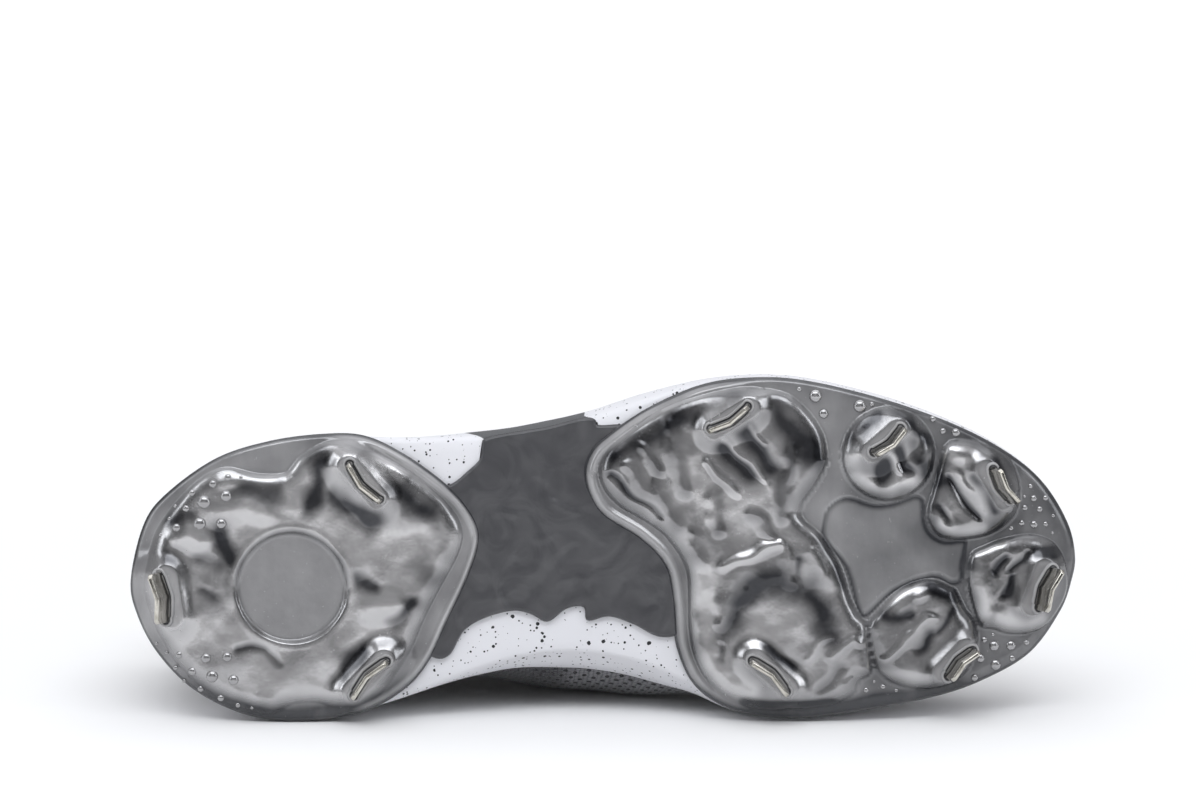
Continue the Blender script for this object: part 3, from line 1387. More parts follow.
# Forms of the forefoot pods: start, end, both widths and rise in millimetres, darkness
FORE_FLOWS = (
    (188.2, -31.3, 197.3, -22.1, 6.5, 6, -0.75, 0.75), (195.5, -36, 202.4, -25, 7.5, 7, -0.7, 0.7),
    (188.2, -34, 200.6, -21.3, 2.6, 2.2, 0.6, -0.45), (196.7, -38.1, 201.2, -32, 2.2, 1.8, 0.5, -0.35),
    (204.5, -43.3, 218, -28.4, 10, 10, -0.15, 0.55), (209.7, -31.3, 206.3, -10.7, 5, 5.5, 0.85, 0.3),
    (171.2, -37, 175.5, -18.7, 6.5, 5, 0.95, 0.2), (162.2, -31.3, 168, -23.6, 4.5, 4.5, 0.85, 0.3),
    (158.8, -25, 166.4, -16.2, 5, 4.5, 0.8, 0.1), (154.2, -29.6, 178, -41.6, 9, 9, -0.1, 0.55),
    (152, -22.6, 167, -10.4, 2.6, 2.4, -0.6, 0.45), (166.5, -20, 174, -6, 5, 5, 0.45, 0.25),
    (179.1, -26.1, 183.9, -10.7, 7.5, 6.5, 0.05, -0.5), (191.7, -14, 199.5, -18.1, 8, 9, 0.05, -0.5),
    (184.5, -15.8, 186.8, -5, 5.4, 5, 0.85, 0.25), (197, -10.7, 202.9, -3.2, 4.4, 4, 0.8, 0.25),
    (183.7, -26.1, 191, -17.5, 3.4, 3, 0.7, -0.15), (204.1, -19.4, 205.5, -12, 3.6, 3.2, 0.55, 0.05),
    (187.6, 5.3, 204.6, -0.6, 4, 4.2, 1.25, -0.7), (192.7, 8, 186.3, 23.6, 12, 3, 0.85, -0.05),
    (178.6, -3.7, 180.6, 5, 4.6, 4, 0.75, 0.2), (181.4, 7.8, 182, 26.1, 8, 7, 0, -0.45),
    (186.8, 27.2, 191.6, 20, 7, 9, -0.2, 0.5), (191.6, 18, 198, 13.2, 10, 12, -0.2, 0.55),
    (198, 12.6, 206, 10.8, 12, 13, -0.25, 0.5), (206, 11.6, 214, 13.8, 12, 10, -0.15, 0.55),
    (215, 15.4, 219.5, 22, 10, 11, -0.25, 0.6), (219.5, 24, 221.5, 29, 10, 7, -0.15, 0.5),
    (199.5, 26, 210.9, 23.8, 12, 12, 0.15, -0.25), (200.1, 31.2, 209.7, 38.7, 4.5, 4.5, -0.3, 0.65),
    (207.6, 1.6, 208.8, 10.6, 4.4, 4, 0.8, -0.05), (216.4, 1.6, 218.4, 10.6, 3.8, 3.6, 0.75, -0.05),
    (212, 3, 212.4, 12, 3, 3, -0.2, 0.45), (186.2, 30.7, 186.2, 35.8, 3, 2.8, -0.55, 0.4),
    (224.5, 38.7, 219.2, 45, 5, 5.2, -0.6, 0.3), (222, 35.5, 225.6, 31.2, 2.8, 2.8, 0.8, -0.1),
    (225.6, 31.2, 229, 29, 2.8, 2.6, 0.8, -0.1), (229, 29, 231, 31, 2.4, 2, 0.7, 0),
    (226, 44.6, 229, 42.6, 2, 1.8, 0.5, 0.1), (182.5, 37.5, 193.9, 45.7, 10, 10, 0.05, -0.4),
    (194, 50, 222, 50.4, 4, 4, -0.2, 0.7), (214, 36, 221, 29, 2.4, 2, 0.35, -0.2),
    (219, -3, 229, 18, 4, 4, 0, 0.4), (230.6, -36, 227.6, -26, 4, 5, 0, -0.2),
    (228.5, -33.5, 236, -40.5, 7, 7, -0.1, 0.6), (258, -36, 263, -38, 6, 6, 0, 0.4),
    (236.6, -30.6, 238.6, -21, 5.4, 5, -0.6, 0.7), (242, -33, 246, -24, 5, 5, -0.6, 0.7),
    (239.6, -31.6, 243.4, -22.4, 2.2, 2, 0.6, -0.35), (248.6, -33, 251.6, -24, 5, 5, 0.1, 0.35),
    (229, -20, 250, -19.5, 5, 5, 0.05, -0.4), (244, -41, 253, -33, 4, 4, 0, 0.45),
    (258, -29, 266, -28.5, 6, 5, 0.4, -0.6), (259, -20, 268, -8.5, 2.6, 2.2, -0.6, 0.6),
    (256, -12, 259, -7, 3, 3, -0.35, 0.5), (256, -20, 262, -16, 5, 4, -0.1, 0.45),
    (263, -22, 271, -10, 3.4, 3.4, 0.55, -0.25), (268, -22, 275, -11, 3, 3, -0.3, 0.35),
    (257, -5, 270, -4.5, 4, 4, 0, -0.35), (274, -26, 279.5, -14, 4, 4, -0.1, 0.5),
    (268, 3.4, 276, 1, 6, 5, 0.35, -0.6), (273.5, 8, 277.5, 4.6, 3.4, 3, -0.4, 0.55),
    (280, 8.4, 284, 3.6, 3.4, 3, -0.4, 0.5), (277.5, 17, 280, 11, 4, 3.4, -0.35, 0.6),
    (286, 3.4, 293.6, 4, 4, 4, -0.1, 0.65), (268.4, 12, 271.4, 22, 5, 6, 0, -0.4),
    (276, 25, 288, 26, 5, 5, 0, -0.4), (283, 12, 280.6, 21, 3, 3, 0.5, -0.1),
    (243, 17, 250, 13, 6, 5, 0.2, -0.45), (252, 13.6, 262, 17, 5, 5, -0.1, 0.6),
    (249.4, 17.4, 251.4, 13.8, 3, 3, 0.6, -0.3), (240, 22.4, 246, 23, 5, 5, -0.1, 0.5),
    (238.4, 36, 247, 29, 2.6, 2.6, 0.85, -0.2), (247, 29, 253, 22.6, 2.6, 2.4, 0.85, -0.15),
    (250.6, 32, 253.6, 27.6, 5, 4.6, -0.45, 0.55), (256, 27, 261, 21, 4, 4, -0.2, 0.45),
    (238, 41, 252, 43, 4, 5, 0, -0.35),
)


@dataclass
class ForefootPlate(MouldedPlate):
    """Forefoot plate: five pods round a flat recess, with flowing ridges and a rear bead."""

    pod_height: float = 0.0034
    bead_half: float = 0.0025
    bead_height: float = 0.0013
    flat_smoke: float = 0.63
    raised_clear: float = 0.3
    seat_smoke: float = 0.26
    bead_clear: float = 0.45
    shade_from: float = 0.04
    shade_reach: float = 0.01
    toe_from: float = 0.225
    rim_depth: float = 0.00016
    round_pod: tuple[float, float, float] = (0.2402, -0.0287, 0.0149)

    def relief(self, plan: Array, depth: Array) -> tuple[Array, Array, Array]:
        """Work out the face of the forefoot plate.

        Args:
            plan: Plan points.
            depth: Their depth inside the outline.

        Returns:
            Height, smokiness and silvering.
        """
        flow = undulation(plan, 0.022, 29)
        swell, tint = flow_forms(plan, FORE_FLOWS)
        pods = np.zeros(plan.shape[:-1])
        for shape in (POD_REAR, POD_TOE_LATERAL, POD_TOE_TIP, POD_BALL_MEDIAL):
            inside = depth_inside(plan, closed_curve(np.array(shape) * MM, 4))
            pods = np.maximum(pods, rounded(inside, self.shoulder))
        x, y, radius = self.round_pod
        reach = np.hypot(plan[..., 0] - x, plan[..., 1] - y)
        pods = np.maximum(pods, rounded(radius - reach, self.shoulder))
        ripple = undulation(plan, 0.008, 17)
        height = pods * (self.pod_height + 0.00024 * flow + 0.00006 * ripple + swell)
        rear = 1 - ease((plan[..., 0] / SOLE.length - 0.62) / 0.06)
        bead = rear * ease(1 - np.abs(depth - self.bead_half) / self.bead_half)
        height = joined_heights(height, self.bead_height * bead, 0.0004)
        studs, near = self.studs(plan)
        height = joined_heights(height, studs * np.clip(pods * 1.3, 0, 1), 0.0018)
        sunk = depth_inside(plan, closed_curve(np.array(FORE_RECESS) * MM, 4))
        recess = ease(sunk / 0.002)
        rim = ease(sunk / 0.0006) * ease((0.0026 - sunk) / 0.002)
        height = height - self.rim_depth * rim
        low = self.shaded_edge(plan, depth)
        toe = ease((plan[..., 0] - self.toe_from) / 0.03)
        smoke = self.smoke_of(pods, flow, ripple, tint) + self.shade_smoke * low
        smoke = smoke + toe * (0.16 - 0.1 * recess) + 0.35 * rim
        silver = (self.flat_silver + self.raised_silver * pods) * (1 - 0.7 * low)
        return height, *self.toned(smoke, silver, near, bead)


# Droplets: place and radius in millimetres
HEEL_DROPLETS = (
    (23.9, -15.9, 2.2), (30.9, -17.8, 1.9), (22.4, -9.1, 2.1), (29.3, -9.1, 1.7), (26.8, -21.6, 1.3),
    (31.6, -23.6, 1.1), (35.7, -23.6, 0.6), (20.1, -18.8, 1.1), (18.2, -13.9, 1.1), (15.1, -7.9, 1.3),
    (14.7, -14.6, 0.6), (12.8, -10.7, 0.6), (10, -5.6, 0.6), (23.9, 33.5, 1.6), (30.6, 33.2, 1.6),
    (25.8, 39.3, 1.9), (32.5, 40.5, 1.7), (19.5, 37.7, 1.3), (15.4, 32.5, 1.1), (11.3, 31.9, 0.6),
    (14.1, 36.7, 0.8), (22, 43.4, 1), (28.4, 46.3, 1.1), (33.8, 48.6, 0.8), (38.2, 49.5, 0.5),
    (16.7, 40.9, 0.6), (8.1, 29, 0.5),
)
FORE_DROPLETS = (
    (212.3, -49.6, 0.8), (217.4, -47.4, 2.1), (219.9, -41.8, 1.6), (231.4, -44, 2.1), (235.2, -44.6, 0.8),
    (254.5, -39.6, 1), (257.7, -35.7, 1), (261.8, -35.1, 1.4), (285.6, -17.5, 0.8), (286.6, -13.6, 1.1),
    (290.4, -13.6, 0.9), (283.7, -14.3, 0.5), (283.7, -10.7, 1), (288.5, -10.1, 1), (282.7, -5.9, 1),
    (286.6, -5.3, 1.3), (290.4, -5.3, 0.9), (292.9, -7.9, 0.6), (279.3, -4.3, 0.8), (292.6, -2.4, 0.5),
    (273.5, 32.9, 1.7), (278.9, 32.9, 1.6), (269.1, 36.7, 1.4), (273.9, 38.9, 1.7), (267.2, 42.8, 1.1),
    (279.3, 37, 1), (284, 32.2, 0.9), (270.4, 30.9, 1), (273.2, 29.3, 0.6), (232.6, 46, 0.9),
    (238, 45, 0.8), (235.2, 43.4, 0.5), (242.2, 46.3, 0.6),
)

# Soft folds of the waist cover: start, end, both widths and rise in millimetres, darkness
WAIST_FOLDS = (
    (134.5, -14.6, 140.9, -10.6, 3.4, 3, 0.4, 0), (124.9, 18, 132, 8, 4.5, 4, -0.45, 0),
    (132, 8, 140, 0, 4, 3, -0.4, 0), (116.6, 13.2, 121.4, 4.8, 4, 3, -0.4, 0),
    (118, 15.6, 126.8, 7.2, 4, 4, 0.35, 0), (136.6, 11.4, 140, 9, 3, 3, 0.4, 0),
    (140, 9, 143.4, 9.8, 3, 2.6, 0.35, 0), (151.6, 19.4, 155.8, 11, 4, 3, -0.4, 0),
    (163, 18.9, 167, 15.7, 3, 2.6, -0.35, 0), (117.6, -11, 121.4, -10, 3, 2.4, 0.35, 0),
    (129.4, -2.6, 132.4, -3.6, 3, 2.6, 0.35, 0), (144, -6, 149.4, -1.6, 4, 3, 0.3, 0),
    (146, 14, 148, 6, 3.6, 3, -0.3, 0), (128, -20, 134, -16.6, 4, 3.4, -0.3, 0),
    (141, -18, 149, -12, 5, 4, 0.25, 0),
)


@dataclass
class WaistCover:
    """Thin wrinkled cover of the waist, tucked under both plates' edges."""

    wall: float = 0.0015
    fall: float = 0.0009
    tuck: float = 0.0002
    steps: tuple[int, int] = (220, 150)

    def build(self) -> None:
        """Shape and dress the cover."""
        plan, depth, back_plan = outline_grid(WAIST_OUTLINE, WAIST_FRONT_ROW, self.steps, 0.2)
        level = tread_height(plan[..., 0]) + SOLE.plate_wall - self.tuck
        folds, _tint = flow_forms(plan, WAIST_FOLDS)
        swell = (folds + 0.00012 * undulation(plan, 0.012, 5)) * ease(depth / 0.005)
        swell = swell - self.fall * ease((-0.01 - plan[..., 1]) / 0.026)
        face = with_height(plan, level - self.wall * rounded(depth + 1e-5, 0.0009) - swell)
        piece = backed_solid("waist_skin", face, back_plan, SOLE.plate_wall + self.tuck)
        merge_closed(piece)
        finish_piece(piece, [WaistSkin().build()], ("waist_cover",), 60.0)


# Upper and midsole


class UpperForm:
    """Outer surface of the upper as columns from the feather edge to the topline."""

    def __init__(self) -> None:
        """Find the feather line of both sides."""
        lateral, medial = outline_sides(SOLE_OUTLINE, SOLE_FRONT_ROW, 116, 0.6)
        loop = loop_of(lateral, medial)
        inset = UPPER.feather_inset * table_column(FEATHER_ROWS, 1, loop[:, 0] / SOLE.length)
        self.feather = dict(zip(Side, moved_sides(lateral, medial, -inset[:, None])))
        self.tables = {Side.LATERAL: LATERAL_COLUMNS, Side.MEDIAL: MEDIAL_COLUMNS}

    def handles(self, side: Side, around: Array) -> Array:
        """Find the control points of columns.

        Args:
            side: Side of the shoe.
            around: Places from the heel back to the toe tip.

        Returns:
            Four control points for each place.
        """
        around = np.clip(np.asarray(around, float), 0.0, 1.0)
        rows = self.tables[side]
        curve = self.feather[side]
        foot = even_points(curve, around)
        ahead, behind = (even_points(curve, np.clip(around + step, 0, 1)) for step in (0.004, -0.004))
        tangent = ahead - behind
        normal = unit(side.value * np.column_stack([tangent[:, 1], -tangent[:, 0]]))
        end = np.clip(1 - np.minimum(around, 1 - around) / 0.012, 0, 1)[:, None]
        ends = np.where(around[:, None] < 0.5, np.array([[-1.0, 0.0]]), np.array([[1.0, 0.0]]))
        normal = unit(normal * (1 - end) + ends * end)
        top = np.column_stack([SOLE.length * table_column(rows, 1, around),
                               SOLE.ball_width * table_column(rows, 2, around)])
        top_z = (UPPER.heel_height * table_column(rows, 3, around)
                 + UPPER.instep_height * table_column(rows, 4, around))
        outward = unit(foot - top + normal * 0.2 * UPPER.instep_height)
        low_out, low_up, high_out, high_down = (
            UPPER.instep_height * table_column(rows, column, around) for column in (5, 6, 7, 8))
        foot_z = bed_height(foot[:, 0]) + SOLE.gap
        return np.stack([
            np.column_stack([foot, foot_z]),
            np.column_stack([foot + normal * low_out[:, None], foot_z + low_up]),
            np.column_stack([top + outward * high_out[:, None], top_z - high_down]),
            np.column_stack([top, top_z])])

    def outer(self, side: Side, around: Array, up: Array) -> Array:
        """Points of the outer surface at arrays of places around and up."""
        shape = np.shape(around)
        a, b, c, d = self.handles(side, np.ravel(around))
        t = np.ravel(up)[:, None]
        points = (1 - t)**3 * a + 3 * (1 - t)**2 * t * b + 3 * (1 - t) * t**2 * c + t**3 * d
        return points.reshape(*shape, 3)

    def normal(self, side: Side, around: Array, up: Array) -> Array:
        """Outward normals of the outer surface."""
        step = 0.004
        middle = np.clip(around, 2 * step, 1 - 2 * step)
        round_way = self.outer(side, middle + step, up) - self.outer(side, middle - step, up)
        rise = (self.outer(side, around, np.clip(up + step, 0, 1))
                - self.outer(side, around, np.clip(up - step, 0, 1)))
        normal = side.value * np.cross(round_way, rise)
        back = np.asarray(around) <= 1e-9
        front = np.asarray(around) >= 1 - 1e-9
        ahead = np.where(back, -1.0, 1.0)
        end_normal = np.stack([ahead * rise[..., 2], 0 * ahead, -ahead * rise[..., 0]], axis=-1)
        return unit(np.where((back | front)[..., None], end_normal, normal))

    def layer(self, side: Side, around: Array, up: Array, offset: Array) -> Array:
        """Surface parallel to the outer one, moved out by an offset."""
        return self.outer(side, around, up) + self.normal(side, around, up) * np.asarray(offset)[..., None]

    def wall(self, around: Array, up: Array) -> Array:
        """Wall thickness: knit alone, or with the padding of the collar."""
        collar = ease((UPPER.collar_front - np.asarray(around)) / 0.1)
        high = ease((np.asarray(up) - 0.5) / 0.35)
        lip = 1 - ease((np.asarray(up) - 0.93) / 0.07) * 0.45
        return UPPER.wall + UPPER.collar_pad * collar * high * lip

    def single_points(self, side: Side, around: float, up: float, offset: float) -> tuple[Vector, Vector]:
        """One point and its normal.

        Args:
            side: Side of the shoe.
            around: Place round the shoe.
            up: Place up the column.
            offset: Distance out from the outer surface.

        Returns:
            The point and the outward normal.
        """
        place = np.array([around])
        height = np.array([up])
        point = self.layer(side, place, height, np.array([offset]))[0]
        return Vector(point), Vector(self.normal(side, place, height)[0])


@dataclass
class Midsole:
    """Foam midsole whose low rim follows the upper."""

    form: UpperForm
    steps: int = 150
    inset: float = 0.0008
    foot_round: float = 0.0018
    shoulder_rise: float = 0.0022
    rim_row: float = 1 / 12
    rim_gap: float = 0.0005
    rim_wall: float = 0.0022
    wall_swell: float = 0.0009
    crest_rise: float = 0.0006
    wrap_from: float = 0.1124
    wrap_to: float = 0.1475
    wrap_nose: float = 0.0062

    def wrapping(self, x: Array, share: Array) -> Array:
        """How the waist's grey skin and knit wrap the lateral wall.

        Args:
            x: Places along the shoe.
            share: Places up the wall.

        Returns:
            0 on bare foam, 1 on the skin and 2 on the knit.
        """
        bulge = 0.004 * np.sin(np.pi * np.clip(share, 0, 1))
        nose = self.wrap_nose * ease(share / 0.42)
        start = np.clip((x - self.wrap_from + nose) / 0.0012 + 0.5, 0, 1)
        stop = np.clip((self.wrap_to - bulge - x) / 0.002 + 0.5, 0, 1)
        return start * stop * (1 + np.clip((share - 0.4) / 0.08, 0, 1))

    def build(self) -> None:
        """Shape and dress the midsole."""
        around = crowded(self.steps, 0.6)
        halves = outline_sides(SOLE_OUTLINE, SOLE_FRONT_ROW, self.steps, 0.6)
        low = dict(zip(Side, moved_sides(*halves, -self.inset - self.foot_round)))
        wide = dict(zip(Side, moved_sides(*halves, -self.inset)))
        under = SOLE.plate_wall + SOLE.gap
        gap = np.full_like(around, self.rim_gap)
        rim_row = np.full_like(around, self.rim_row)
        profiles = {}
        for side in Side:
            foot = self.form.layer(side, around, np.zeros_like(around), gap)
            rim_in = self.form.layer(side, around, rim_row, gap)
            outward = self.form.normal(side, around, rim_row)
            outward[:, 2] = 0.0
            outward = unit(outward)
            rim_out = rim_in + outward * self.rim_wall
            bottom = with_height(low[side], tread_height(low[side][:, 0]) + under)
            shoulder = with_height(wide[side], tread_height(wide[side][:, 0]) + under + self.shoulder_rise)
            turn = bottom.copy()
            turn[:, :2] = 0.7 * wide[side] + 0.3 * low[side]
            turn[:, 2] += 0.3 * self.shoulder_rise
            bed = foot.copy()
            bed[:, 2] = bed_height(foot[:, 0])
            rows = [bottom, turn, shoulder]
            for share in (0.2, 0.4, 0.6, 0.8, 0.93):
                swell = outward * self.wall_swell * math.sin(math.pi * share)
                rows.append(shoulder * (1 - share) + rim_out * share + swell)
            crest = 0.5 * (rim_out + rim_in)
            crest[:, 2] += self.crest_rise
            rows += [rim_out * 0.75 + crest * 0.25, crest, rim_in, 0.5 * (rim_in + foot), bed]
            profiles[side] = np.stack(rows, axis=1)
        lateral = profiles[Side.LATERAL]
        medial = profiles[Side.MEDIAL]
        floor_plan = ruled_grid(lateral[:, 0, :2], medial[:, 0, :2], 24)
        floor = with_height(floor_plan, tread_height(floor_plan[..., 0]) + under)
        bed_plan = ruled_grid(lateral[:, -1, :2], medial[:, -1, :2], 10)
        bed = with_height(bed_plan, bed_height(bed_plan[..., 0]))
        rings = np.concatenate([floor[:, :-1], medial[:, :-1], bed[:, :0:-1], lateral[:, :0:-1]], axis=1)
        piece = ring_solid("speckled_midsole", rings)
        wrap = np.zeros((rings.shape[0], rings.shape[1] + 1))
        wall_share = np.linspace(0.0, 1.0, lateral.shape[1])[None, :]
        wrap[:, -lateral.shape[1]:-1] = self.wrapping(lateral[..., 0], wall_share)[:, :0:-1]
        wrap[:, 0] = self.wrapping(lateral[:, 0, 0], np.zeros(len(lateral)))
        wrap[:, -1] = wrap[:, 0]
        store_layer(piece, "wrap", wrap)
        merge_closed(piece)
        finish_piece(piece, [SpeckledFoam().build()], ("midsole",), 50.0)


@dataclass
class Insole:
    """Sock liner with a low cup round the heel."""

    form: UpperForm
    steps: int = 120
    wall: float = 0.004
    cup: float = 0.004
    edge_round: float = 0.0015
    clearance: float = 0.0009
    fill: float = 1.0

    def build(self) -> None:
        """Shape and dress the sock liner."""
        around = crowded(self.steps, 0.6)
        zero = np.zeros_like(around)
        edges = []
        for side in Side:
            outward = self.form.normal(side, around, zero)[:, :2]
            lean = np.linalg.norm(outward, axis=1)[:, None]
            inset = outward / lean * (UPPER.wall / lean + self.clearance)
            edges.append(self.form.outer(side, around, zero)[:, :2] - inset)
        top_plan = ruled_grid(*edges, 30)
        across = np.abs(np.linspace(-1, 1, 31))[None, :]
        cup = self.cup * ease((0.4 * SOLE.length - top_plan[..., 0]) / (0.25 * SOLE.length)) * across**3
        edge = self.edge_round * (1 - rounded(1 - across + 1e-3, 0.07))
        top = with_height(top_plan, bed_height(top_plan[..., 0]) + SOLE.gap + self.wall + cup - edge)
        low_plan = ruled_grid(*edges, 6)
        low = with_height(low_plan, bed_height(low_plan[..., 0]) + SOLE.gap)
        piece = ring_solid("sock_liner", np.concatenate([top, low[:, ::-1]], axis=1))
        lay = closing(np.concatenate([top_plan, low_plan[:, ::-1]], axis=1))
        store_lay(piece, lay[..., 0], lay[..., 1])
        merge_closed(piece)
        cloth = LiningCloth("sock_liner_cloth", (0.12, 0.12, 0.13), 700.0, 0.0003).build()
        finish_piece(piece, [cloth], ("insole",), 50.0)


@dataclass
class UpperShell:
    """Hollow upper: knit outside, padded collar, lining inside."""

    form: UpperForm
    side_steps: int = 150
    outer_rows: int = 54
    lip_rows: int = 9
    inner_rows: int = 36

    def creases(self, side: Side, around: Array, up: Array) -> Array:
        """Depth of the creases that walking leaves.

        Args:
            side: Side of the shoe.
            around: Places round the shoe.
            up: Places up the columns.

        Returns:
            How far the surface sinks at each place.
        """
        total = np.zeros_like(around)
        for name, a0, u0, a1, u1, width, depth in CREASE_ROWS:
            if name is not side:
                continue
            da, du = a1 - a0, (u1 - u0) * 0.4
            x, y = around - a0, (up - u0) * 0.4
            t = np.clip((x * da + y * du) / (da * da + du * du), 0, 1)
            away = np.hypot(x - t * da, y - t * du)
            total += depth * MM * np.exp(-(away / width)**2) * np.sin(np.pi * np.clip(t, 0.04, 0.96))
        return total

    def build(self) -> None:
        """Shape and dress the upper."""
        places = crowded(self.side_steps, 0.6)
        around, up = np.meshgrid(places, np.linspace(0, 1, self.outer_rows + 1), indexing="ij")
        inner_around, inner_up = np.meshgrid(places, np.linspace(1, 0, self.inner_rows + 1), indexing="ij")
        sections = []
        shades = []
        punches = []
        for side in Side:
            outer = self.form.layer(side, around, up, -self.creases(side, around, up))
            thick = self.form.wall(inner_around, inner_up)
            inner = self.form.layer(side, inner_around, inner_up, -thick)
            middle = 0.5 * (outer[:, -1] + inner[:, 0])
            half = 0.5 * (outer[:, -1] - inner[:, 0])
            rise = unit(outer[:, -1] - outer[:, -3])
            lip = []
            for angle in np.linspace(0, math.pi, self.lip_rows + 2)[1:-1]:
                height = 0.75 * np.linalg.norm(half, axis=1)[:, None] * math.sin(angle)
                lip.append(middle + half * math.cos(angle) + rise * height)
            sections.append(np.concatenate([outer, np.stack(lip, axis=1), inner], axis=1))
            toe = ease((around - 0.45) / 0.4)
            shade = 0.42 - 0.34 * toe + 0.2 * ease((up - 0.75) / 0.2)
            if side is Side.MEDIAL:
                shade = np.maximum(shade, ease((0.485 - around) / 0.05) * (1 - ease((up - 0.35) / 0.25)))
            tail = np.full((len(places), self.lip_rows + self.inner_rows + 1), 0.6)
            shades.append(np.concatenate([shade, tail], axis=1))
            band = ease((up - 0.06) / 0.03) * (1 - ease((up - 0.3) / 0.06))
            punch = band * ease((around - 0.4) / 0.03) * (1 - ease((around - 0.66) / 0.04))
            vamp = ease((up - 0.42) / 0.05) * (1 - ease((up - 0.72) / 0.05)) * ease((around - 0.7) / 0.04)
            punches.append(np.concatenate([np.maximum(punch, vamp), 0 * tail], axis=1))
        grid = self.both_ways(sections)
        piece = ring_solid("mesh_upper", grid)
        store_layer(piece, "shade", closing(self.both_ways(shades)))
        store_layer(piece, "punched", closing(self.both_ways(punches)))
        whole = closing(grid)
        store_lay(piece, run_along(grid[:, 20])[:, None], run_round(whole))
        self.paint_rows(piece, whole.shape)
        merge_closed(piece)
        lining = LiningCloth("collar_lining", (0.17, 0.17, 0.18), 800.0, 0.0003).build()
        finish_piece(piece, [EngineeredMesh().build(), lining], ("upper",), 60.0)

    def both_ways(self, halves: list[Array]) -> Array:
        """Columns of both sides joined into one closed round."""
        return np.concatenate([halves[0], halves[1][-2::-1]], axis=0)

    def paint_rows(self, piece: Piece, shape: tuple[int, ...]) -> None:
        """Give the lining's faces the second material.

        Args:
            piece: The upper before its corners are merged.
            shape: Rows and columns of its grid.
        """
        index = np.zeros((shape[0] - 1, shape[1] - 1), int)
        index[:, self.outer_rows + 4:] = 1
        for _material in range(2):
            piece.data.materials.append(None)
        piece.data.polygons.foreach_set("material_index", index.reshape(-1))


# Creases of the upper: side, start and end as shares round and up, width share, depth in millimetres
CREASE_ROWS = (
    (Side.LATERAL, 0.66, 0.78, 0.72, 0.4, 0.01, 0.9), (Side.LATERAL, 0.7, 0.86, 0.77, 0.48, 0.009, 0.8),
    (Side.LATERAL, 0.62, 0.66, 0.66, 0.36, 0.009, 0.6), (Side.MEDIAL, 0.66, 0.8, 0.73, 0.42, 0.01, 0.9),
    (Side.MEDIAL, 0.7, 0.88, 0.78, 0.5, 0.009, 0.8), (Side.LATERAL, 0.3, 0.66, 0.4, 0.52, 0.01, 0.7),
    (Side.LATERAL, 0.34, 0.78, 0.43, 0.64, 0.009, 0.6), (Side.MEDIAL, 0.3, 0.66, 0.4, 0.52, 0.01, 0.7),
    (Side.MEDIAL, 0.34, 0.78, 0.43, 0.64, 0.009, 0.6),
)


@dataclass
class Stitching:
    """Rows of thread laid in small stitches."""

    pitch: float = 0.003
    length: float = 0.0024
    width: float = 0.0007

    def build(self, name: str, lines: list[tuple[Array, Array]], material: Finish, slot: str) -> None:
        """Sew along lines on the upper.

        Args:
            name: Name of the piece.
            lines: Points and normals of each line.
            material: Finish of the thread.
            slot: The record's material slot.
        """
        deselect_all()
        bpy.ops.mesh.primitive_uv_sphere_add(segments=8, ring_count=6, radius=0.5)
        model = bpy.context.active_object
        model.data.transform(Matrix.Diagonal((self.length, self.width, 0.7 * self.width, 1)))
        places = []
        for points, normals in lines:
            run = run_along(points)
            count = max(int(run[-1] / self.pitch), 2)
            targets = (np.arange(count) + 0.5) * run[-1] / count
            spots = read_at(points, run, targets)
            ahead = read_at(points, run, targets + 1e-4) - spots
            for spot, way, top in zip(spots, ahead, read_at(normals, run, targets)):
                x = Vector(way).normalized()
                z = Vector(top)
                z = (z - x * z.dot(x)).normalized()
                turn = Matrix((x, z.cross(x), z)).transposed().to_4x4()
                places.append(Matrix.Translation(spot) @ turn)
        piece = repeated(name, model, places)
        finish_piece(piece, [material])


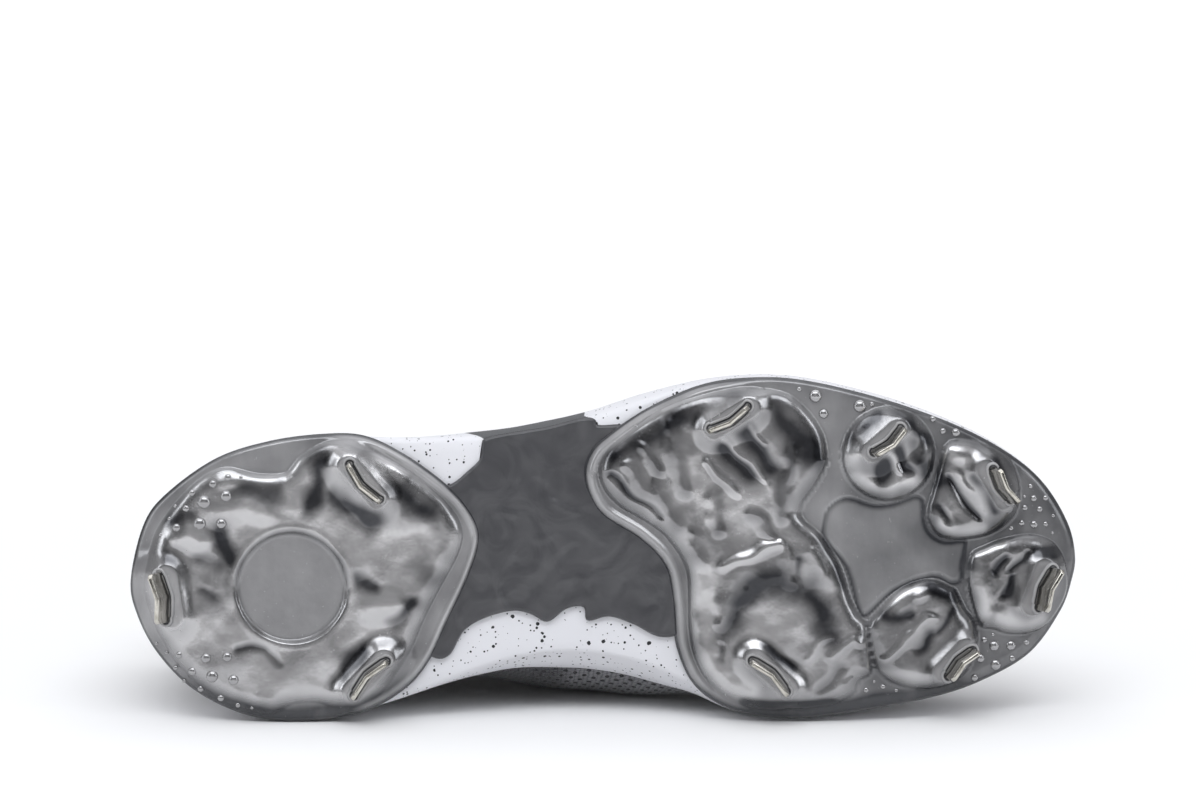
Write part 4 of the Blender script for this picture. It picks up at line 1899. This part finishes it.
@dataclass
class Overlay:
    """Film welded on the upper along a band of its columns."""

    form: UpperForm
    name: str
    node: str
    slot: str
    first: float
    last: float
    low: Callable[[Array], Array]
    high: Callable[[Array], Array]
    wraps_heel: bool = False
    rows: int = 16
    steps: int = 90
    wall: float = UPPER.overlay_wall
    edge_bevel: float = 0.00045
    stitch_inset: float = 0.05

    def columns(self, offset: float, inset: float) -> tuple[Array, Array]:
        """Points and normals of the band, in order round the shoe.

        Args:
            offset: Distance out from the upper.
            inset: Share by which the band is narrower on each edge.

        Returns:
            Points and normals, columns of rows.
        """
        places = np.linspace(self.first, self.last, self.steps)
        around, share = np.meshgrid(places, np.linspace(inset, 1 - inset, self.rows + 1), indexing="ij")
        up = self.low(around) * (1 - share) + self.high(around) * share
        lift = np.full_like(around, offset)
        halves = [(self.form.layer(side, around, up, lift), self.form.normal(side, around, up))
                  for side in Side]
        if self.wraps_heel:
            return tuple(np.concatenate([halves[0][k][::-1], halves[1][k][1:]]) for k in (0, 1))
        return tuple(np.concatenate([halves[0][k], halves[1][k][-2::-1]]) for k in (0, 1))

    def build(self, material: Finish) -> None:
        """Shape and dress the film.

        Args:
            material: Finish of the film.
        """
        points, _normals = self.columns(UPPER.overlay_gap + self.wall, 0.0)
        piece = grid_surface(self.name, points)
        centre = points.reshape(-1, 3).mean(axis=0)
        face = piece.data.polygons[0]
        if face.normal.dot(face.center - Vector(centre)) < 0:
            piece.data.flip_normals()
        solidify = piece.modifiers.new("wall", "SOLIDIFY")
        solidify.thickness = self.wall + 0.8 * UPPER.overlay_gap
        solidify.offset = -1.0
        bevel_edges(piece, self.edge_bevel, 50)
        finish_piece(piece, [material], (self.node,), 50.0)

    def edge_line(self, edge: int, inset: float) -> tuple[Array, Array]:
        """Stitch line just inside one long edge: 0 for the low one, -1 for the high one."""
        points, normals = self.columns(UPPER.overlay_gap + self.wall + 0.0001, inset)
        return points[:, edge], normals[:, edge]


@dataclass
class Lacing:
    """Flat lace through six pairs of eyelets, crossing over the tongue."""

    form: UpperForm
    count: int = 6
    first: float = 0.475
    last: float = 0.765
    row: float = 0.895
    ring_radius: float = 0.0036
    ring_tube: float = 0.0007
    well_depth: float = 0.0004
    width: float = 0.0062
    thickness: float = 0.0013
    cross_rise: float = 0.0022
    cross_lift: float = 0.0016
    fine_steps: int = 14
    section_steps: int = 20

    def holes(self, side: Side, offset: float) -> list[tuple[Vector, Vector]]:
        """Centre and normal of each lace hole on one side, top hole first."""
        return [self.form.single_points(side, around, self.row, offset)
                for around in np.linspace(self.first, self.last, self.count)]

    def build_rings(self) -> None:
        """Set a ring round each lace hole."""
        paint = PlainPaint("eyelet_paint", (0.05, 0.05, 0.055), 0.38, 0.6).build()
        dark = PlainPaint("eyelet_hole", (0.01, 0.01, 0.01), 0.9).build()
        height = UPPER.overlay_gap * 2 + UPPER.overlay_wall + self.ring_tube * 0.7
        for side in Side:
            for number, (centre, normal) in enumerate(self.holes(side, height), 1):
                deselect_all()
                bpy.ops.mesh.primitive_torus_add(major_radius=self.ring_radius, minor_radius=self.ring_tube,
                                                 major_segments=40, minor_segments=14)
                ring = bpy.context.active_object
                bpy.ops.mesh.primitive_cylinder_add(radius=self.ring_radius - 0.1 * self.ring_tube,
                                                    depth=self.well_depth, vertices=40,
                                                    location=(0, 0, -0.8 * self.ring_tube))
                well = bpy.context.active_object
                ring.data.materials.append(paint)
                well.data.materials.append(dark)
                well.data.transform(Matrix.Translation(well.location))
                well.location = (0, 0, 0)
                piece = join_pieces(f"ring_{side.name.lower()}_{number}", [ring, well])
                turn = normal.to_track_quat("Z", "Y").to_matrix().to_4x4()
                piece.data.transform(Matrix.Translation(centre) @ turn)
                finish_piece(piece, [paint, dark], (f"eyelet_{side.name.lower()}_{number}",))

    def keys(self, start: Side, lifted: int) -> list[tuple[Vector, Vector]]:
        """Places and flat normals that one lace passes.

        Args:
            start: Side of its lowest hole.
            lifted: Which crossings pass above the other lace, 0 or 1.

        Returns:
            Points with the lace's flat normal there.
        """
        top = UPPER.overlay_gap + UPPER.overlay_wall + self.ring_tube * 2.2 + 0.5 * self.thickness
        under = -(UPPER.wall + 0.9 * MM)
        rows = {side: self.holes(side, 0.0) for side in Side}
        side = start
        number = self.count - 1
        centre, normal = rows[side][number]
        far, far_normal = rows[side.other][number]
        towards = (far - centre).normalized()
        middle = 0.5 * (centre + far) + (normal + far_normal).normalized() * (top + 0.0015)
        path = [(middle, normal), (centre + normal * top + towards * 0.002, normal)]
        path += [(centre, -towards), (centre + normal * under, -towards)]
        sign = -1.0
        while number > 0:
            goal, goal_normal = rows[side.other][number - 1]
            towards = (goal - centre).normalized()
            over_edge = self.throat_edge(side, self.place(number))
            far_edge = self.throat_edge(side.other, self.place(number - 1))
            crossing = 0.5 * (over_edge + far_edge)
            lift = (normal + goal_normal).normalized()
            step_up = self.cross_rise + (self.cross_lift if number % 2 == lifted else 0.0)
            if number < self.count - 1:
                path.append((centre + normal * top - towards * 0.0006, normal * sign))
                path.append((over_edge + normal * (top - 0.0006), normal * sign))
            path.append((crossing + lift * step_up, lift * sign))
            path.append((far_edge - goal_normal * 0.0012, goal_normal * sign))
            path.append((goal + goal_normal * under - towards * 0.0012, goal_normal * sign))
            path.append((goal + goal_normal * 0.0002 + towards * 0.0004, -towards * sign))
            side = side.other
            number -= 1
            centre, normal = goal, goal_normal
            sign = -sign
        path.append((centre + normal * 0.0022, path[-1][1]))
        return path

    def throat_edge(self, side: Side, around: float) -> Vector:
        """Point of the throat's edge beside a place round the shoe."""
        return self.form.single_points(side, around, 1.0, 0.0)[0]

    def place(self, number: int) -> float:
        """Place of a hole round the shoe, top hole first."""
        return self.first + (self.last - self.first) * number / (self.count - 1)

    def ribbon(self, name: str, keys: list[tuple[Vector, Vector]]) -> Piece:
        """Sweep the flat section of a lace along its keys.

        Args:
            name: Name of the lace.
            keys: Points with the lace's flat normal there.

        Returns:
            The closed ribbon.
        """
        points = np.array([tuple(point) for point, _normal in keys])
        normals = np.array([tuple(normal) for _point, normal in keys])
        led = with_leads(points)
        centres = []
        tops = []
        for index in range(len(points) - 1):
            a, b, c, d = led[index:index + 4]
            for step in range(self.fine_steps):
                t = step / self.fine_steps
                centres.append(spline(a, b, c, d, t))
                share = float(ease(np.array(t)))
                tops.append(normals[index] * (1 - share) + normals[index + 1] * share)
        centres.append(points[-1])
        tops.append(normals[-1])
        centres = np.array(centres)
        ahead = unit(np.gradient(centres, axis=0))
        sides = unit(np.cross(ahead, np.array(tops)))
        flats = np.cross(sides, ahead)
        angles = np.linspace(0, 2 * math.pi, self.section_steps, endpoint=False)
        wide = np.sign(np.cos(angles)) * np.abs(np.cos(angles))**0.5 * 0.5 * self.width
        thick = np.sign(np.sin(angles)) * np.abs(np.sin(angles))**0.7 * 0.5 * self.thickness
        rings = centres[:, None] + sides[:, None] * wide[:, None] + flats[:, None] * thick[:, None]
        caps = [np.repeat(end[:, None], self.section_steps, axis=1) for end in (centres[:1], centres[-1:])]
        rings = np.concatenate([caps[0], rings, caps[1]])
        run = run_along(centres)
        run = np.concatenate([run[:1], run, run[-1:]])[:, None]
        piece = ring_solid(name, rings)
        store_lay(piece, run, np.broadcast_to(np.append(wide, wide[0]), (len(rings), len(wide) + 1)))
        merge_closed(piece)
        return piece

    def build(self) -> None:
        """Shape and dress the lace and the rings."""
        self.build_rings()
        halves = [self.ribbon("lace_half_a", self.keys(Side.LATERAL, 0)),
                  self.ribbon("lace_half_b", self.keys(Side.MEDIAL, 1))]
        piece = join_pieces("flat_lace", halves)
        finish_piece(piece, [LaceWeave().build()], ("lace",), 60.0)


@dataclass
class Tongue:
    """Padded tongue under the lacing, standing above the throat at its top."""

    form: UpperForm
    wall: float = 0.0045
    rise: float = 0.02
    clearance: float = 0.0017
    first: float = 0.435
    last: float = 0.86
    steps: int = 60
    across: int = 28
    channels: int = 14
    quilt_rise: float = 0.0003
    fill: float = 0.8

    def sections(self) -> Array:
        """Sections of the tongue's face from its top to its foot.

        Returns:
            Rows of points across the tongue.
        """
        depth = UPPER.wall + self.clearance
        found = []
        for around in np.linspace(self.first, self.last, self.steps):
            place = np.full(3, around)
            left = self.form.layer(Side.LATERAL, place, np.array((0.82, 0.91, 1.0)), np.full(3, -depth))
            right = self.form.layer(Side.MEDIAL, place, np.array((1.0, 0.91, 0.82)), np.full(3, -depth))
            middle = 0.5 * (left[-1] + right[0])
            middle[2] += 0.16 * np.linalg.norm(left[-1] - right[0])
            found.append(np.vstack([left, middle[None], right]))
        found = np.array(found)
        ahead = found[0].mean(axis=0) - found[10].mean(axis=0)
        ahead /= np.linalg.norm(ahead)
        crest = found[0].mean(axis=0)
        top = []
        for share in np.linspace(1.0, 0.1, 9):
            spread = 1.0 - 0.1 * share
            top.append(crest + (found[0] - crest) * spread + ahead * self.rise * share)
        found = np.concatenate([np.array(top), found])
        fine = []
        for section in found:
            coarse = even_points(section, np.linspace(0, 1, 9))
            shares = np.linspace(0, 8, self.across + 1)
            led = with_leads(coarse)
            cell = np.minimum(shares.astype(int), 7)
            t = (shares - cell)[:, None]
            a, b, c, d = (led[cell + shift] for shift in range(4))
            fine.append(spline(a, b, c, d, t))
        return np.array(fine)

    def build(self) -> None:
        """Shape and dress the tongue."""
        outer = self.sections()
        normal = unit(np.cross(np.gradient(outer, axis=0), np.gradient(outer, axis=1)))
        if normal[..., 2].mean() < 0:
            normal = -normal
        down = np.linspace(0, 1, len(outer))[:, None]
        aside = np.abs(np.linspace(-1, 1, outer.shape[1]))[None, :]
        thick = self.wall * (1 - 0.55 * down) * (1 - 0.6 * aside**2)
        rim = rounded(1 - aside + 1e-4, 0.14) * rounded(np.minimum(down, 1 - down) + 1e-4, 0.04)
        middle = outer - normal * (0.5 * thick)[..., None]
        half = normal * (0.5 * thick * rim)[..., None]
        channels = np.sin(np.pi * np.clip((down - 0.02) * self.channels, 0, self.channels))
        quilting = self.quilt_rise * channels * (1 - aside**2) * ease(0.25 / (down + 0.2) - 0.3)
        face = middle + half + normal * quilting[..., None]
        inside = middle - half
        rings = np.concatenate([face, inside[:, -2:0:-1]], axis=1)
        folded = [np.concatenate([end, end[:, -2:0:-1]], axis=1) for end in (middle[:1], middle[-1:])]
        rings = np.concatenate([folded[0], rings, folded[1]])
        piece = ring_solid("padded_tongue", rings)
        whole = closing(rings)
        store_lay(piece, run_along(whole[:, self.across // 2])[:, None], run_round(whole))
        store_layer(piece, "shade", np.full(whole.shape[:2], 0.55))
        store_layer(piece, "punched", np.zeros(whole.shape[:2]))
        merge_closed(piece)
        finish_piece(piece, [EngineeredMesh().build()], ("tongue",), 60.0)


# Studio

# Light of the air from behind the shoe to ahead of it: place on the way round, level
AIR_ROWS = ((0, 0.4), (0.5, 0.42), (0.64, 0.25), (0.8, 0.04), (0.925, 0.06), (0.978, 0.4), (1, 0.44))

# Soft lights: name, place, size and power
LIGHT_ROWS = (
    ("key_box", (0.0, -1.15, 1.55), (1.7, 0.75), 15.0),
    ("top_box", (0.0, 0.25, 1.3), (1.9, 1.2), 5.5),
    ("left_strip", (-1.35, -0.85, 0.7), (0.3, 1.0), 3.5),
    ("right_strip", (1.35, -0.85, 0.7), (0.3, 1.0), 3.5),
)


@dataclass
class Studio:
    """Pale floor, soft lights and the photograph's camera."""

    distance: float = 2.4
    elevation: float = math.radians(10.0)
    frame_width: float = 0.378
    raised: float = 0.049
    aside: float = -0.0012
    sensor: float = 36.0
    floor_level: float = -0.0006
    light_colour: Colour = (0.94, 0.965, 1.0)

    def build_floor(self) -> None:
        """Lay the plain pale floor."""
        deselect_all()
        bpy.ops.mesh.primitive_grid_add(x_subdivisions=4, y_subdivisions=4, size=16.0,
                                        location=(0, 0, self.floor_level))
        floor = bpy.context.active_object
        floor.name = "studio_floor"
        mix = Recipe("floor_paint")
        away = mix.node("ShaderNodeVectorMath", {0: mix.place()}, operation="LENGTH").outputs["Value"]
        floor.data.materials.append(mix.dress({
            "Base Color": (0.9, 0.9, 0.9),
            "Roughness": 0.9,
            "Specular IOR Level": 0.0,
            "Emission Color": (1.0, 1.0, 1.0),
            "Emission Strength": mix.span(away, 0.15, 1.6, 0.0, 0.75),
        }))
        floor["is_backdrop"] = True

    def build_air(self) -> None:
        """Surround the shoe with soft light: bright above, mid grey ahead and a darker band between."""
        world = bpy.data.worlds.new("studio_air")
        air = NodeBoard(world)
        way = air.node("ShaderNodeTexCoord", {}).outputs["Generated"]
        ahead = air.node("ShaderNodeVectorMath", {0: way, 1: (0.0, -0.9976, 0.07)},
                         operation="DOT_PRODUCT").outputs["Value"]
        half = air.node("ShaderNodeMapRange", {0: ahead, 1: -1.0}).outputs[0]
        ramp = air.node("ShaderNodeValToRGB", {0: half})
        band = ramp.color_ramp
        band.interpolation = "EASE"
        band.elements.remove(band.elements[1])
        for number, (place, level) in enumerate(AIR_ROWS):
            stop = band.elements.new(place) if number else band.elements[0]
            stop.position = place
            stop.color = (level, level, level * 1.02, 1.0)
        above = air.span(air.node("ShaderNodeSeparateXYZ", {0: way}).outputs[2], 0.45, 0.8)
        sky = air.blend(above, ramp.outputs[0], (0.8, 0.8, 0.82))
        air.feed(air.tree.nodes["Background"].inputs[0], sky)
        bpy.context.scene.world = world

    def build_lights(self) -> None:
        """Hang the soft lights."""
        for name, place, size, power in LIGHT_ROWS:
            light = bpy.data.lights.new(name, "AREA")
            light.shape = "RECTANGLE"
            light.size, light.size_y = size
            light.energy = power
            light.color = self.light_colour
            lamp = bpy.data.objects.new(name, light)
            lamp.location = place
            aim = Vector((0, 0, 0.05)) - Vector(place)
            lamp.rotation_euler = aim.to_track_quat("-Z", "Y").to_euler()
            bpy.context.collection.objects.link(lamp)

    def build_camera(self) -> None:
        """Stand the camera at the photograph's angle."""
        low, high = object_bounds()
        middle = Vector([(a + b) / 2 for a, b in zip(low, high)])
        sole = Vector((middle.x + self.aside, low[1] + 0.01, middle.z))
        back = Vector((0.0, -math.cos(self.elevation), math.sin(self.elevation)))
        up = Vector((0.0, math.sin(self.elevation), math.cos(self.elevation)))
        data = bpy.data.cameras.new("photo_camera")
        data.sensor_width = self.sensor
        data.lens = self.sensor * self.distance / self.frame_width
        data.clip_end = 50.0
        camera = bpy.data.objects.new("photo_camera", data)
        camera.location = sole + up * self.raised + back * self.distance
        camera.rotation_euler = (math.pi / 2 - self.elevation, 0.0, 0.0)
        bpy.context.collection.objects.link(camera)
        bpy.context.scene.camera = camera

    def build(self) -> None:
        """Set up the whole studio."""
        bpy.context.scene.view_settings.view_transform = "Standard"
        self.build_floor()
        self.build_air()
        self.build_lights()
        self.build_camera()


def heel_overlay(form: UpperForm) -> Overlay:
    """Counter round the heel."""
    return Overlay(form, "heel_counter_film", "heel_counter", "overlay_film", 0.0, 0.225,
                   lambda a: 0.1 + 0 * a, lambda a: 0.62 - 0.3 * ease(a / 0.235)**2, wraps_heel=True)


def toe_overlay(form: UpperForm) -> Overlay:
    """Cap round the toe."""
    return Overlay(form, "toe_cap_film", "toe_cap", "overlay_film", 0.71, 1.0,
                   lambda a: 0.1 + 0 * a, lambda a: 0.26 + 0.2 * ease((a - 0.7) / 0.3))


def stay_overlay(form: UpperForm) -> Overlay:
    """Stay along both edges of the throat."""
    return Overlay(form, "eyestay_film", "eyestay", "eyestay_film", 0.445, 1.0,
                   lambda a: 0.8 + 0.08 * ease((a - 0.75) / 0.25), lambda a: 0.985 + 0 * a,
                   rows=10, steps=120, stitch_inset=0.1)


def main() -> None:
    """Build each sub-assembly in order."""
    logging.basicConfig(level=logging.INFO, format="%(name)s %(message)s")
    Studio().build()
    plastic = SmokePlate().build()
    HeelPlate("heel_moulding", "heel_plate", HEEL_PLATE_OUTLINE, HEEL_PLATE_FRONT_ROW, "spike_heel",
              (270, 210), droplets=HEEL_DROPLETS).build(plastic)
    ForefootPlate("forefoot_moulding", "forefoot_plate", FORE_PLATE_OUTLINE, FORE_PLATE_FRONT_ROW,
                  "spike_fore", (330, 230), droplets=FORE_DROPLETS).build(plastic)
    Spikes().build(plastic)
    WaistCover().build()
    form = UpperForm()
    Midsole(form).build()
    Insole(form).build()
    UpperShell(form).build()
    film = OverlayFilm("overlay_film", (0.26, 0.26, 0.275)).build()
    stay_film = OverlayFilm("eyestay_film", (0.12, 0.12, 0.13)).build()
    thread = PlainPaint("thread", (0.42, 0.42, 0.44), 0.8).build()
    for overlay, material in (
            (heel_overlay(form), film), (toe_overlay(form), film), (stay_overlay(form), stay_film)):
        overlay.build(material)
        lines = [overlay.edge_line(0, overlay.stitch_inset)]
        if not overlay.wraps_heel:
            lines.append(overlay.edge_line(-1, 0.08))
        Stitching().build(overlay.node + "_stitches", lines, thread, overlay.slot)
    Tongue(form).build()
    Lacing(form).build()


if __name__ == "__main__":
    main()
